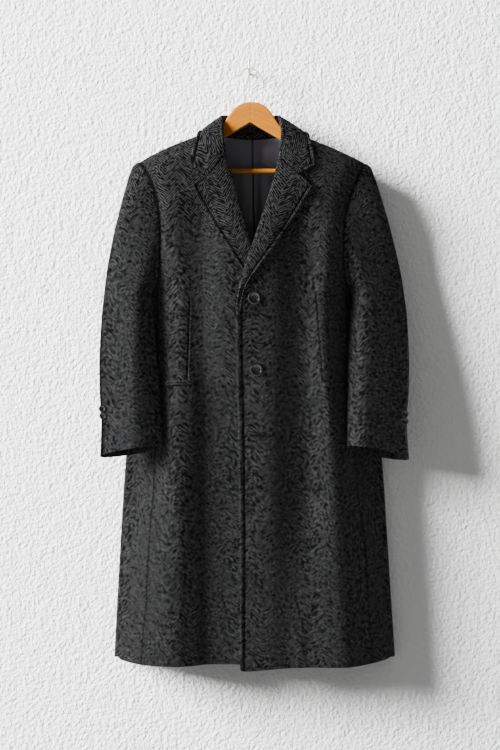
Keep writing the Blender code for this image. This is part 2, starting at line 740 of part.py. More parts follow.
def corner_share(start, corner, end):
    """How far along a bent line its corner is."""
    first, second = np.linalg.norm(corner - start), np.linalg.norm(end - corner)
    return first / (first + second)


def bend(across, share, start, corner, end):
    """Way from the straight line between two points to the line bent at a corner."""
    straight = start + (end - start) * share
    strength = np.where(across < share, across / share, (1 - across) / (1 - share))
    return strength[:, None] * (corner - straight)[None, :]


def fall_lift(resting, ways):
    """How far a folded-over piece lies off the front, from its roll to its edge."""
    return resting + (2 * ROLL_RADIUS - resting) * (1 - ways) ** 1.5


def lapel_sheet(side):
    """Middle surface of a lapel: round the roll, then out over the front to its edge."""
    gorge = np.array([0.0, GORGE_GAP])
    notch = np.array(NOTCH[side]) + gorge
    rows = []
    for share in np.linspace(0, 1, LAPEL_ROWS):
        roll, edge, across = roll_edge(side, share)
        start = roll + across * ROLL_RADIUS
        width = np.linalg.norm(edge - start)
        band = max(1 - EDGE_BAND / width, NARROW_BAND_WAY * (1 - 0.3 * share))
        ways = np.array([0.0, *(way * band for way in FALL_WAYS), band, 1.0])
        flat = start + (edge - start) * ways[:, None]
        fade = (1 - min(share / NOTCH_SHARE, 1.0)) ** 2
        flat = flat + bend(ways, corner_share(start, notch, edge), start, notch, edge) * fade
        flat = flat + gorge * fade
        lift = fall_lift(LAPEL_LIFT, ways) + LAPEL_BULGE * np.sin(math.pi * ways) * (1 - share)
        reach = lapped_front_reach(side, flat[:, 0], flat[:, 1]) + lift
        base = lapped_front_reach(side, start[0], start[1])
        turned = np.linspace(0, math.pi, ROLL_STEPS + 1)[:-1]
        roll_xy = start[None, :] - across[None, :] * ROLL_RADIUS * np.sin(turned)[:, None]
        roll_xy = roll_xy + gorge * fade
        roll_reach = base + ROLL_RADIUS * (1 - np.cos(turned))
        xy = np.vstack([roll_xy, flat])
        rows.append(place(xy[:, 0], xy[:, 1], np.concatenate([roll_reach, reach])))
    return np.array(rows)


COLLAR_BETWEEN = 2
STAND_WAYS = (0.0, 0.35, 0.7)
COLLAR_NOTCH_STATIONS = 2.2  # stations over which the corner at the notch fades out
COLLAR_ON_FRONT = (1.0, 2.6)  # the fall lies on the front up to here, and is free from here


def unit(vector):
    """A vector made one long."""
    return vector / np.linalg.norm(vector)


def neck_points():
    """The neck seam's stations as (x, drop, reach), on the fronts' and the back's surfaces."""
    x, drop, behind = NECK_SEAM["x"], NECK_SEAM["drop"], NECK_SEAM["behind"]
    reach = np.where(behind > 0, back_reach(x, drop), front_reach(x, drop))
    return np.stack([x, drop, reach], axis=1)


def collar_sheet():
    """Middle surface of the collar: up the stand, over the fold and down the fall."""
    seam = spline(neck_points(), COLLAR_BETWEEN)
    fold = spline(np.stack([COLLAR_FOLD[k] for k in ("x", "drop", "reach")], axis=1), COLLAR_BETWEEN)
    edge = spline(np.stack([COLLAR_EDGE[k] for k in ("x", "drop", "reach")], axis=1), COLLAR_BETWEEN)
    along = np.gradient(fold, axis=0)
    rows = []
    last = len(fold) - 1
    for index in range(last + 1):
        n, k, e, t = seam[index] - np.array([0, SEAM, 0]), fold[index], edge[index], unit(along[index])
        top = -unit(unit(n - k) + unit(e - k))
        top = unit(top - t * top.dot(t))
        inward = np.cross(t, top)
        inward = inward * np.sign(inward.dot(n - e))
        centre = k - top * ROLL_RADIUS
        stand_top = centre + inward * ROLL_RADIUS
        points = [n + (stand_top - n) * way for way in STAND_WAYS]
        for step in range(ROLL_STEPS + 1):
            turn = math.pi * step / ROLL_STEPS
            points.append(
                centre + inward * ROLL_RADIUS * math.cos(turn) + top * ROLL_RADIUS * math.sin(turn)
            )
        start = points[-1]
        width = np.linalg.norm(e - start)
        band = 1 - EDGE_BAND / width
        ways = np.array([*(way * band for way in FALL_WAYS), band, 1.0])
        bulge = COLLAR_BULGE * np.sin(math.pi * ways)
        fall = start + (e - start) * ways[:, None] - inward * bulge[:, None]
        side = RIGHT if index < last / 2 else LEFT
        station = min(index, last - index) / COLLAR_BETWEEN
        fade = (1 - min(station / COLLAR_NOTCH_STATIONS, 1.0)) ** 2
        if fade > 0:
            notch = np.array(NOTCH[side]) - np.array([0.0, GORGE_GAP])
            share = corner_share(start[:2], notch, e[:2])
            fall[:, :2] += bend(ways, share, start[:2], notch, e[:2]) * fade
        on_front = 1 - ease((station - COLLAR_ON_FRONT[0]) / (COLLAR_ON_FRONT[1] - COLLAR_ON_FRONT[0]))
        lift = fall_lift(COLLAR_LIFT, ways) + COLLAR_BULGE_ON_FRONT * np.sin(math.pi * ways)
        laid = front_reach(fall[:, 0], fall[:, 1]) + lift
        fall[:, 2] += (laid - fall[:, 2]) * on_front
        rows.append(np.vstack([points, fall]))
    rows = np.array(rows)
    return place(rows[..., 0], rows[..., 1], rows[..., 2])


def pocket_welt(side):
    """Middle surface of a pocket's welt, on the front."""
    pocket = POCKETS[side]
    x = np.linspace(pocket["start"], pocket["end"], 9)
    rows = []
    for height in (-0.5, 0.0, 0.5):
        drop = pocket["drop"] + abs(x - pocket["start"]) * pocket["slope"] + height * WELT_HEIGHT
        reach = front_reach(x, drop)
        lean = (front_reach(x + 1, drop) - front_reach(x - 1, drop)) / 2
        out = WELT_LIFT / np.sqrt(1 + lean**2)
        rows.append(place(x - lean * out, drop, reach + out))
    return np.array(rows)


LINING_TOP = table(
    "x drop",
    (-112, 153), (-72, 132.5), (-40, 137), (4, 140.5), (48, 137.5), (80, 134.5), (120, 157),
)
LINING_WIDTH = table("drop half", (130, 116), (200, 146), (300, 160), (560, 164))
LINING_SHARES = (0.0, 0.03, 0.08, 0.16, 0.28, 0.42, 0.58, 0.78, 1.0)
LINING_END = 560.0
LINING_LIFT = 3.5
PLEAT_X, PLEAT_WIDTH, PLEAT_DEPTH = 6.5, 28.0, 2.0


def lining_sheet():
    """Middle surface of the back lining, with its centre pleat lapped over."""
    rows = []
    ways = np.sort(np.append(np.linspace(-1, 1, 11), (0.018, 0.03)))
    for share in LINING_SHARES:
        top = read(LINING_TOP, "drop", CENTRE_BACK_X + LINING_WIDTH["half"][0] * ways, "x")
        drop = top + (LINING_END - top) * share
        x = CENTRE_BACK_X + read(LINING_WIDTH, "half", drop) * ways
        pleat = PLEAT_DEPTH * np.clip(1 - (x - PLEAT_X) / PLEAT_WIDTH, 0, 1) * (x > PLEAT_X)
        rows.append(place(x, drop, back_reach(x, drop) + LINING_LIFT + pleat))
    return np.array(rows)


# ---------------------------------------------------------------------------------------------
# Buttons, hanger and hooks

FRONT_BUTTON_PROFILE = (
    (0.0, 2.4), (7.0, 2.4), (9.4, 3.6), (11.3, 4.4), (12.9, 3.8), (13.6, 2.5), (12.8, 0.9),
    (9.0, 0.0), (0.0, 0.0),
)
SLEEVE_BUTTON_SCALE = SLEEVE_BUTTON_RADIUS / FRONT_BUTTON_RADIUS
HOLE_RADIUS, HOLE_OFFSET, HOLE_CUT = 1.25, 2.5, 12.0
BUTTON_LIFT = 1.9
SLEEVE_BUTTON_LIFT = 2.4


def button_mesh(name, scale, segments):
    """A turned button with a raised rim and four holes, its back on the local plane Z = 0."""
    shape = bmesh.new()
    axis = []
    points = [shape.verts.new((r * scale * METRES, 0, z * scale * METRES)) for r, z in FRONT_BUTTON_PROFILE]
    for a, b in zip(points, points[1:]):
        axis.append(shape.edges.new((a, b)))
    bmesh.ops.spin(
        shape, geom=points + axis, cent=(0, 0, 0), axis=(0, 0, 1), angle=2 * math.pi, steps=segments,
    )
    bmesh.ops.remove_doubles(shape, verts=shape.verts, dist=0.00001)
    bmesh.ops.recalc_face_normals(shape, faces=shape.faces)
    mesh = bpy.data.meshes.new(name)
    shape.to_mesh(mesh)
    shape.free()
    mesh.shade_smooth()
    mesh.set_sharp_from_angle(angle=math.radians(40))
    return mesh


def hole_cutter(name, scale, collection, material):
    """The four thread holes of a button, as one cutter along local Z."""
    shape = bmesh.new()
    for turn in range(4):
        angle = math.pi / 4 + turn * math.pi / 2
        made = bmesh.ops.create_cone(
            shape, cap_ends=True, segments=8, radius1=HOLE_RADIUS * scale * METRES,
            radius2=HOLE_RADIUS * scale * METRES, depth=HOLE_CUT * METRES,
        )
        offset = HOLE_OFFSET * scale * METRES
        bmesh.ops.translate(
            shape, verts=made["verts"], vec=(offset * math.cos(angle), offset * math.sin(angle), 0),
        )
    mesh = bpy.data.meshes.new(name)
    shape.to_mesh(mesh)
    shape.free()
    cutter = add_object(name, mesh, collection, material)
    cutter.hide_render = True
    cutter.display_type = "WIRE"
    return cutter


def add_button(name, mesh, location, normal, cutter, collection, material):
    """A button laid against a place with its face along a normal, its holes cut."""
    button = add_object(name, mesh.copy(), collection, material)
    button.location = location
    button.rotation_euler = Vector(normal).to_track_quat("Z", "Y").to_euler()
    cutter.location = button.location
    cutter.rotation_euler = button.rotation_euler
    holes = button.modifiers.new("Thread holes", "BOOLEAN")
    holes.operation = "DIFFERENCE"
    holes.object = cutter
    return button


def front_buttons(collection, cutters, material):
    """The two buttons on the left front."""
    mesh = button_mesh("Front button", 1.0, FRONT_BUTTON_SEGMENTS)
    for number, (x, drop) in enumerate(FRONT_BUTTONS, start=1):
        reach = lapped_front_reach(LEFT, x, drop) + BUTTON_LIFT
        cutter = hole_cutter(f"front_button_holes_{number}", 1.0, cutters, material)
        add_button(
            f"front_button_{number}", mesh, place(x, drop, reach), (0, -1, 0), cutter, collection,
            material,
        )


def sleeve_buttons(side, collection, cutters, material):
    """The two buttons on one sleeve, beside its back seam."""
    mesh = button_mesh("Sleeve button", SLEEVE_BUTTON_SCALE, SLEEVE_BUTTON_SEGMENTS)
    top = armhole(side, SLEEVE_BUTTON_ANGLE)[1]
    bottom = sleeve_point(side, SLEEVE_BUTTON_ANGLE, 1.0)[1]
    for number, drop in enumerate(SLEEVE_BUTTONS[side], start=1):
        share = (drop - top) / (bottom - top)
        here = place(*sleeve_point(side, SLEEVE_BUTTON_ANGLE, share))
        along = place(*sleeve_point(side, SLEEVE_BUTTON_ANGLE, share + 0.01)) - here
        around = place(*sleeve_point(side, SLEEVE_BUTTON_ANGLE + 2, share)) - here
        normal = unit(np.cross(along, around)) * -side
        name = f"sleeve_button_{SIDE_NAME[side]}_{number}"
        cutter = hole_cutter(f"{name}_holes", SLEEVE_BUTTON_SCALE, cutters, material)
        add_button(
            name, mesh, here + normal * SLEEVE_BUTTON_LIFT * METRES, normal, cutter, collection,
            material,
        )


def hanger_half(side, collection, material):
    """One half of the wooden hanger, cut from a plank along its outline, with rounded edges."""
    joint = SEAM / 2
    points = [
        place(HANGER_JOINT_X + side * max(out, joint), drop, HANGER_REACH) for out, drop in HANGER_ARM
    ]
    shape = bmesh.new()
    outline = shape.faces.new([shape.verts.new(point) for point in points])
    outline.normal_update()
    if outline.normal.y > 0:
        outline.normal_flip()
    mesh = bpy.data.meshes.new(f"hanger_arm_{SIDE_NAME[side]}")
    shape.to_mesh(mesh)
    shape.free()
    half = add_object(f"hanger_arm_{SIDE_NAME[side]}", mesh, collection, material)
    plank = half.modifiers.new("Plank", "SOLIDIFY")
    plank.thickness = HANGER_THICKNESS * METRES
    plank.offset = 0.0
    rounding = half.modifiers.new("Rounded edges", "BEVEL")
    rounding.width = HANGER_EDGE * METRES
    rounding.segments = 2
    rounding.limit_method = "ANGLE"
    rounding.angle_limit = math.radians(60)
    return half


def trouser_bar(collection, material):
    """The round bar between the hanger's arms."""
    length = 2 * (BAR_HALF_LENGTH - SEAM) * METRES
    bpy.ops.mesh.primitive_cylinder_add(
        vertices=20, radius=BAR_RADIUS * METRES, depth=length,
        location=place(HANGER_JOINT_X, BAR_DROP, HANGER_REACH), rotation=(0, math.pi / 2, 0),
    )
    bar = bpy.context.object
    bar.name = "hanger_bar"
    bar.data.name = "hanger_bar"
    for old in list(bar.users_collection):
        old.objects.unlink(bar)
    collection.objects.link(bar)
    bar.data.materials.append(material)
    bar.data.shade_smooth()
    bar.data.set_sharp_from_angle(angle=math.radians(40))
    return bar


def hanger_wire(collection, material):
    """The hanger's wire hook, from its head up and over the wall hook."""
    points = spline([(x, drop, HANGER_REACH) for x, drop in HANGER_WIRE], 3)
    return wire("hanger_hook", place(*points.T), WIRE_RADIUS, collection, material)


def wall_hook(collection, material):
    """The square wall hook: a shank straight out of the wall, then an upright end."""
    points = [(0.0, 0.0, 0.0)]
    for turn in np.linspace(0, math.pi / 2, 5):
        rise = WALL_HOOK_BEND * (1 - math.cos(turn))
        points.append((0.0, -rise, WALL_HOOK_REACH - WALL_HOOK_BEND * (1 - math.sin(turn))))
    points.append((0.0, -WALL_HOOK_RISE, WALL_HOOK_REACH))
    return wire(
        "wall_hook", place(*np.array(points).T), WALL_HOOK_RADIUS, collection, material, resolution=3,
    )


def hanging_loop(collection, material):
    """The self-cloth loop across the inside of the neck."""
    points = spline(HANGING_LOOP, 2)
    return wire("hanging_loop", place(*points.T), LOOP_RADIUS, collection, material)


def build():
    """Build the whole coat with its hanger and the wall hook."""
    clear_scene()
    coat = new_collection("Wool overcoat")
    cutters = new_collection("Cutters")
    wool = finish("Charcoal herringbone wool", (0.035, 0.035, 0.037), 0.95)
    satin = finish("Dark satin lining", (0.022, 0.021, 0.025), 0.45)
    horn = finish("Black horn", (0.012, 0.011, 0.011), 0.3)
    wood = finish("Varnished light wood", (0.72, 0.36, 0.10), 0.35)
    steel = finish("Steel wire", (0.45, 0.45, 0.46), 0.3, 1.0)
    brass = finish("Aged brass", (0.42, 0.36, 0.25), 0.4, 1.0)

    for side in (RIGHT, LEFT):
        name = SIDE_NAME[side]
        cloth_sheet(f"front_{name}", front_panel(side), CLOTH, coat, wool)
        cloth_sheet(f"side_{name}", side_panel(side), CLOTH, coat, wool)
        cloth_sheet(f"back_{name}", back_panel(side), CLOTH, coat, wool)
        upper = sleeve_panel(side, SLEEVE_BACK_SEAM - 360, SLEEVE_FRONT_SEAM, 14)
        cloth_sheet(f"sleeve_upper_{name}", upper, CLOTH, coat, wool)
        under = sleeve_panel(side, SLEEVE_FRONT_SEAM, SLEEVE_BACK_SEAM, 11)
        cloth_sheet(f"sleeve_under_{name}", under, CLOTH, coat, wool)
        cloth_sheet(f"lapel_{name}", lapel_sheet(side), CLOTH, coat, wool)
        cloth_sheet(f"pocket_welt_{name}", pocket_welt(side), WELT_THICKNESS, coat, wool)
        sleeve_buttons(side, coat, cutters, horn)
        hanger_half(side, coat, wood)
    cloth_sheet("collar", collar_sheet(), CLOTH, coat, wool)
    cloth_sheet("lining_back", lining_sheet(), LINING, coat, satin)
    hanging_loop(coat, wool)
    front_buttons(coat, cutters, horn)
    trouser_bar(coat, wood)
    hanger_wire(coat, steel)
    wall_hook(coat, brass)


build()
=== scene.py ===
"""Wool overcoat on a wooden hanger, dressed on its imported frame.

Frame: +X towards the wearer's left, +Z up, the wall is the plane Y = 0 and the coat hangs in front
of it. Cloth is worked out in millimetres as (x, drop, reach): drop is how far a point lies below the
wall hook's shank and reach is how far it stands out from the wall. Meshes are in metres.
"""

import logging
import math
from collections.abc import Callable, Sequence
from dataclasses import dataclass, field
from enum import Enum, IntEnum
from functools import partial
from typing import Any

import bmesh
import bpy
import numpy as np
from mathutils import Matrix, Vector


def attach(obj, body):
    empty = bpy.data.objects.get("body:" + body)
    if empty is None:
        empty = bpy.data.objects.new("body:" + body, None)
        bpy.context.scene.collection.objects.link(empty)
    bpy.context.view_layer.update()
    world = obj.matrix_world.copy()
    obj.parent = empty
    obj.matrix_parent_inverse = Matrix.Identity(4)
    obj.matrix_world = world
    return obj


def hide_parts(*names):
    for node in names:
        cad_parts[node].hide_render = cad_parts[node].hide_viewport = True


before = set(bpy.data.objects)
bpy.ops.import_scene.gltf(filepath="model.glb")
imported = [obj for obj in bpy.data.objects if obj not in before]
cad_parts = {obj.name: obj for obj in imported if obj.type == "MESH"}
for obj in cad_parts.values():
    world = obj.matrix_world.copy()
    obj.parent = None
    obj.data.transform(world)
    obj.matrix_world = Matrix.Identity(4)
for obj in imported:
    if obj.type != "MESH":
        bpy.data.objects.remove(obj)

LOG = logging.getLogger("coat")
METRES = 0.001
Array = np.ndarray
Number = float | np.ndarray
Pair, Triple, Floats = tuple[float, float], tuple[float, float, float], tuple[float, ...]
Material, Mesh, Object = bpy.types.Material, bpy.types.Mesh, bpy.types.Object
Node, Socket = bpy.types.Node, bpy.types.NodeSocket


class Side(IntEnum):
    """The wearer's sides; the wearer's right is at negative x."""

    RIGHT = -1
    LEFT = 1

    @property
    def word(self) -> str:
        """The side's name in the nodes' names."""
        return self.name.lower()


class Hold(str, Enum):
    """How a sheet of cloth is held."""

    HUNG = "hung"
    FOLDED = "folded"
    LAID = "laid"


class Slot(str, Enum):
    """The part's finishes, by the names of their slots."""

    WOOL = "wool"
    LINING = "lining"
    BUTTON = "button"
    WOOD = "wood"


# Curves


def smooth(keys: Sequence[float], values: Sequence[float], at: Number) -> Array:
    """The smooth curve through values at their keys, which never overshoots them.

    Args:
        keys: Where the values are given, rising.
        values: The values.
        at: Where the curve is read.

    Returns:
        The curve's values.
    """
    keys, values, at = (np.asarray(row, float) for row in (keys, values, at))
    at = np.clip(at, keys[0], keys[-1])
    step = np.diff(keys)
    slope = np.diff(values) / step
    before, after = slope[:-1], slope[1:]
    turning = before * after <= 0
    sums = np.where(turning, 1.0, before + after)
    tangent = np.empty(len(keys))
    tangent[1:-1] = np.where(turning, 0.0, 2 * before * after / sums)
    tangent[0], tangent[-1] = slope[0], slope[-1]
    i = np.clip(np.searchsorted(keys, at, side="right") - 1, 0, len(keys) - 2)
    t = (at - keys[i]) / step[i]
    return (
        values[i] * (1 + 2 * t) * (1 - t) ** 2
        + values[i + 1] * t * t * (3 - 2 * t)
        + step[i] * t * (1 - t) * (tangent[i] * (1 - t) - tangent[i + 1] * t)
    )


class Rows:
    """A table of sizes, whose first column is the key that the others are read by."""

    def __init__(self, columns: str, *rows: Sequence[float]) -> None:
        """Keeps the rows, whose keys rise, as one array for each column."""
        self.names = columns.split()
        self.values = dict(zip(self.names, np.array(rows, float).T))

    def __getitem__(self, column: str) -> Array:
        """One column."""
        return self.values[column]

    def read(self, column: str, at: Number) -> Array:
        """A column along its smooth curve."""
        return smooth(self.values[self.names[0]], self.values[column], at)

    def points(self) -> Array:
        """The rows as points."""
        return np.stack([self.values[name] for name in self.names], axis=1)

    def spot(self, word: str, at: Number) -> Array:
        """The point (x, drop) in the columns that start with a word."""
        return np.stack([self.read(f"{word}_{column}", at) for column in ("x", "drop")], axis=-1)


def both(right: Any, left: Any) -> dict[Side, Any]:
    """What differs between the wearer's two sides."""
    return {Side.RIGHT: right, Side.LEFT: left}


def tables(columns: str, *sides: Sequence[Sequence[float]]) -> dict[Side, Rows]:
    """A table for each of the wearer's sides, right first."""
    return both(*(Rows(columns, *rows) for rows in sides))


def spline(points: Array, between: int) -> Array:
    """Points along the Catmull-Rom curve through the given ones.

    Args:
        points: The curve's own points.
        between: Steps from each to the next.

    Returns:
        The curve's points, with the given ones among them.
    """
    points = np.asarray(points, float)
    padded = np.vstack([2 * points[0] - points[1], points, 2 * points[-1] - points[-2]])
    out = []
    for a, b, c, d in zip(padded, padded[1:], padded[2:], padded[3:]):
        for t in np.arange(between) / between:
            out.append(
                0.5 * (2 * b + (c - a) * t + (2 * a - 5 * b + 4 * c - d) * t * t
                       + (3 * b - a - 3 * c + d) * t ** 3)
            )
    out.append(points[-1])
    return np.array(out)


def ease(t: Number) -> Array:
    """0 to 1 with flat ends."""
    t = np.clip(t, 0.0, 1.0)
    return t * t * (3 - 2 * t)


def rise(at: Number, start: float, over: float) -> Array:
    """0 up to a start, then rising to 1 over a stretch."""
    return ease((at - start) / over)


def quarter_round(t: Number) -> Array:
    """0 to 1 along a quarter circle that starts upright and ends flat."""
    t = np.clip(t, 0.0, 1.0)
    return np.sqrt(1 - (1 - t) ** 2)


def hump(t: Number) -> Array:
    """1 at nought, falling off as a bell on both sides."""
    return np.exp(-(np.asarray(t, float) ** 2))


def unit(vectors: Array) -> Array:
    """Vectors made one long."""
    return vectors / np.linalg.norm(vectors, axis=-1, keepdims=True)


def place(x: Number, drop: Number, reach: Number) -> Array:
    """Millimetres of (x, drop, reach) as metres of (X, Y, Z)."""
    x, drop, reach = np.broadcast_arrays(x, drop, reach)
    return np.stack([x, -reach, -drop], axis=-1) * METRES


# Lines beside an edge, in millimetres from it: what its rounding needs, the same on a narrow piece,
# and what a swelled edge and its stitches need.
RIM = (0.0, 0.35, 1.2, 2.6)
NARROW_RIM = (0.0, 0.35, 1.0)
SWELLED_RIM = (*RIM, 4.2, 5.6, 6.8, 7.6, 8.2, 8.8, 9.6, 11.0, 13.0)
# Lines across a swelled band, as shares of its width from the edge, and the same from the inside.
BAND = np.array((0.0, 0.05, 0.14, 0.27, 0.42, 0.58, 0.73, 0.85, 0.93, 1.0, 1.07, 1.16, 1.3, 1.55))
BAND_INWARDS = BAND[::-1]
FORWARD = np.array((0.0, -1.0, 0.0))  # the way that the coat's front faces
LEVEL = np.array((1.0, 1.0, 0.0))  # takes a vector's upright part away


def ways(
    length: float, spacing: float, start: Sequence[float] = RIM, end: Sequence[float] = RIM
) -> Array:
    """Shares of a length, close together at its two ends.

    Args:
        length: The length.
        spacing: The largest step between two shares.
        start: Lengths from the start that are kept.
        end: Lengths from the end that are kept.

    Returns:
        Shares from 0 to 1.
    """
    first, last = np.array(start, float), length - np.array(end, float)[::-1]
    steps = max(2, round((last[0] - first[-1]) / spacing) + 1)
    middle = np.linspace(first[-1], last[0], steps)[1:-1]
    return np.concatenate([first, middle, last]) / length


# The form that the coat hangs in


@dataclass(frozen=True)
class CoatForm:
    """Sections and outlines of the hanging coat, from which every piece's surface is worked out."""

    seam: float = 0.2
    armhole_gap: float = 0.3
    roll_gap: float = 0.6
    neck_gap: float = 1.7
    gorge_gap: float = 0.12
    underarm_shift: float = 0.4
    hem_drop_back: float = 1216.0
    folds_end: float = 1240.0
    centre_back_x: float = 4.0
    back: float = 13.0
    front_roll: float = 48.0
    back_roll: float = 34.0
    overlap: float = 4.2
    overlap_at_lapel: float = 10.2
    overlap_top: Pair = (270.0, 80.0)
    overlap_thins: Pair = (440.0, 90.0)
    overlap_end: Pair = (92.0, 50.0)
    roll_radius: float = 3.4
    tuck_drop: float = 90.0
    corner_radius: float = 9.0
    flank_end: float = 0.42
    round_end: float = 0.74
    front_angle: float = 150.0
    back_angle: float = 210.0

    sides = tables(
        "drop x",
        ((190, -240), (230, -222), (280, -205), (460, -203), (516, -211.5), (578, -224), (640, -235),
         (722, -246.5), (800, -254.9), (1011, -268.1), (1210, -278.5), (1245, -280)),
        ((190, 252), (230, 234), (280, 217), (460, 214), (516, 223), (578, 236), (640, 248), (722, 262),
         (800, 274), (976, 286), (1096, 293.5), (1210, 301), (1245, 303)),
    )
    section = Rows(
        "drop crest edge run power",
        (110, 60, 44, 60, 0.7), (200, 78, 44, 66, 0.7), (280, 86, 44, 66, 0.75), (400, 93, 40, 70, 0.95),
        (460, 96, 33, 74, 1.15), (520, 97, 29, 82, 1.35), (640, 97, 27, 98, 1.8),
        (800, 97, 27, 110, 1.75), (1000, 96, 28, 115, 1.25), (1245, 95, 30, 118, 1.0),
    )
    front_folds = (
        (-136, -146, 640, 1400, 260, 30, 19, 7.5), (-93, -85, 540, 1400, 160, 17, 66, -13.0),
        (-102, -96, 228, 690, 130, 80, 32, -16.5), (34, 38, 500, 1100, 160, 26, 26, 3.0),
        (112, 118, 235, 1100, 200, 36, 30, -13.0), (178, 196, 240, 1400, 150, 56, 30, 12.0),
        (104, 106, 1090, 1400, 110, 15, 9, 3.5),
    )
    back_folds = (
        (-150, -176, 520, 1400, 260, 26, 26, 6.0), (-88, -100, 600, 1400, 240, 24, 24, -5.0),
        (72, 84, 560, 1400, 240, 26, 26, -5.5), (140, 168, 500, 1400, 260, 24, 24, 6.0),
    )
    sleeve_ridge: float = 5.5
    sleeve_ridge_width: float = 0.42
    sleeve_ridge_top: Pair = (250.0, 180.0)
    sleeve_pinch: Pair = (1.5, 0.6)
    sleeve_crease = both((-0.5, 0.38), (-0.6, 0.0))
    sleeve_crease_turn: Pair = (400.0, 340.0)
    sleeve_lean: float = 24.0
    sleeve_lean_top: Pair = (230.0, 160.0)
    sleeve_point_power: float = 1.45
    back_edge_fade: float = 40.0
    top_angle: float = 350.0
    full_turn: float = 359.9
    underarm: Pair = (135.0, 225.0)
    underarm_fade: float = 30.0
    shoulder = Rows(
        "x drop reach",
        (-245, 202, 48), (-223.5, 190.5, 48), (-198, 175.8, 48), (-163, 158.9, 48), (-116, 139.7, 47),
        (-80, 124.5, 43), (4, 100, 38), (88, 127.5, 43), (127.5, 143.8, 47), (174, 163, 48),
        (210, 180, 48), (236.5, 193.5, 48), (258, 205, 48),
    )
    armholes = tables(
        "angle x drop",
        ((0, -223.5, 190.5), (30, -206, 217), (60, -187, 270), (90, -181, 333), (120, -183, 395),
         (150, -190, 441), (180, -204, 460), (210, -198, 443), (240, -188, 393), (270, -184, 330),
         (300, -187, 268), (330, -203, 215), (360, -223.5, 190.5)),
        ((0, 236.5, 193.5), (30, 222, 222), (60, 204, 268), (90, 193, 325), (120, 192, 390),
         (150, 200, 441), (180, 214, 461), (210, 209, 443), (240, 199, 393), (270, 195, 330),
         (300, 199, 266), (330, 216, 219), (360, 236.5, 193.5)),
    )
    sleeves = tables(
        "drop outer inner middle half",
        ((185, -234, -190, 48, 22), (220, -247, -186, 48, 30), (262, -259, -184, 49, 35),
         (330, -276, -184, 51, 38), (415, -292, -190, 53, 39), (460, -297.5, -204, 56, 38),
         (516, -302.6, -197.5, 61, 37), (599, -305.8, -190, 72, 34.5), (664, -304.5, -184, 81, 33),
         (730, -300.6, -179.5, 88, 31), (810, -303, -175.5, 94, 29.5)),
        ((185, 244, 200, 48, 22), (220, 257, 197, 48, 30), (262, 270.8, 195, 49, 35),
         (330, 290, 195, 51, 38), (425, 311.8, 201, 53, 39), (460, 317, 214.5, 56, 38),
         (516, 323.5, 207.5, 61, 37), (599, 326.4, 203, 72, 34.5), (664, 324.7, 202, 81, 33),
         (723, 320, 201, 88, 31), (810, 325, 198.5, 94, 29.5)),
    )
    cuffs = both((796.0, 775.5, 7.0), (801.0, 776.0, 8.5))
    sleeve_front_seam: float = 172.0
    sleeve_back_seam: float = 346.0
    sleeve_half_gap: float = 0.75
    head_blend: float = 10.0
    underarm_blend: float = 60.0
    front_blend: float = 200.0
    side_front_seam = tables(
        "drop x",
        ((441, -190), (520, -189), (640, -190), (818, -193.5), (968, -203.8), (1083, -210),
         (1178, -218.2), (1245, -222)),
        ((441, 200), (520, 202), (640, 207), (788, 217), (900, 225.6), (972, 237.1), (1086, 242.8),
         (1205, 252.3), (1245, 255)),
    )
    side_back_seam = tables(
        "drop x",
        ((443, -198), (560, -186), (700, -190), (900, -202), (1245, -226)),
        ((443, 209), (560, 200), (700, 208), (900, 222), (1245, 248)),
    )
    hem = tables(
        "x drop",
        ((-290, 1211), (-279, 1212.5), (-255, 1219.8), (-205, 1223.6), (-141, 1223.1), (-88, 1221),
         (-19, 1219.7), (60, 1219.7)),
        ((-20, 1233.4), (-5, 1233.1), (40, 1229.5), (98, 1225.6), (216, 1223.6), (280, 1216.9),
         (300, 1210), (310, 1209)),
    )
    front_edge = tables(
        "drop x",
        ((424, 34), (480, 40), (1245, 46)),
        ((471, -22.3), (500, -26.8), (560, -27.6), (640, -25.8), (762, -22.8), (1087, -19.1),
         (1215, -19.1), (1245, -19.1)),
    )
    lapels = tables(
        "station roll_x roll_drop edge_x edge_drop",
        ((0, -49.5, 181, -117.7, 240.9), (1, -33, 232, -99, 279), (2, -15, 297, -74, 321),
         (3, 3, 360, -41, 373), (4, 13, 395, -19, 409), (5, 20, 421, -6, 431)),
        ((0, 61, 186, 129.7, 245), (1, 49.5, 232, 111, 277), (2, 33, 285, 87, 316), (3, 11, 352, 53, 367),
         (4, -8, 407, 20, 412), (5, -18.5, 447, -9, 449), (6, -22.3, 470, -16, 471)),
    )
    notch = both((-84.1, 223.4), (100.8, 219.3))
    neck_seam = Rows(
        "x drop behind",
        (-53.2, 179, 0), (-64, 157, 0), (-74.5, 137.5, 0), (-80, 124.5, 0), (-70, 127, 1), (-40, 134, 1),
        (4, 137.5, 1), (48, 134.5, 1), (78, 129, 1), (88, 127.5, 0), (83.5, 139, 0), (74.5, 160, 0),
        (64.6, 184, 0),
    )

    def folds(self, rows: Sequence[Sequence[float]], x: Array, drop: Array) -> Array:
        """How far long soft folds stand out.

        Args:
            rows: Each fold's x at its top and bottom, the drops between which it runs, the drop over
                which it fades in, its widths towards lower and higher x, and its height.
            x: Places across.
            drop: Places down.

        Returns:
            Heights at the places.
        """
        total = np.zeros(np.broadcast(x, drop).shape)
        for top, bottom, start, end, fade, lower, higher, height in rows:
            along = np.clip((drop - start) / (min(end, self.folds_end) - start), 0, 1)
            centre = top + (bottom - top) * along
            strength = ease((drop - start) / fade) * ease((end - drop) / fade)
            total = total + height * strength * hump((x - centre) / np.where(x < centre, lower, higher))
        return total

    def shoulder_roll(self, x: Array, drop: Array, reach: Array, roll: float) -> Array:
        """A front or back surface brought over the top to meet the shoulder line."""
        ridge = self.shoulder.read("reach", x)
        return ridge + (reach - ridge) * quarter_round((drop - self.shoulder.read("drop", x)) / roll)

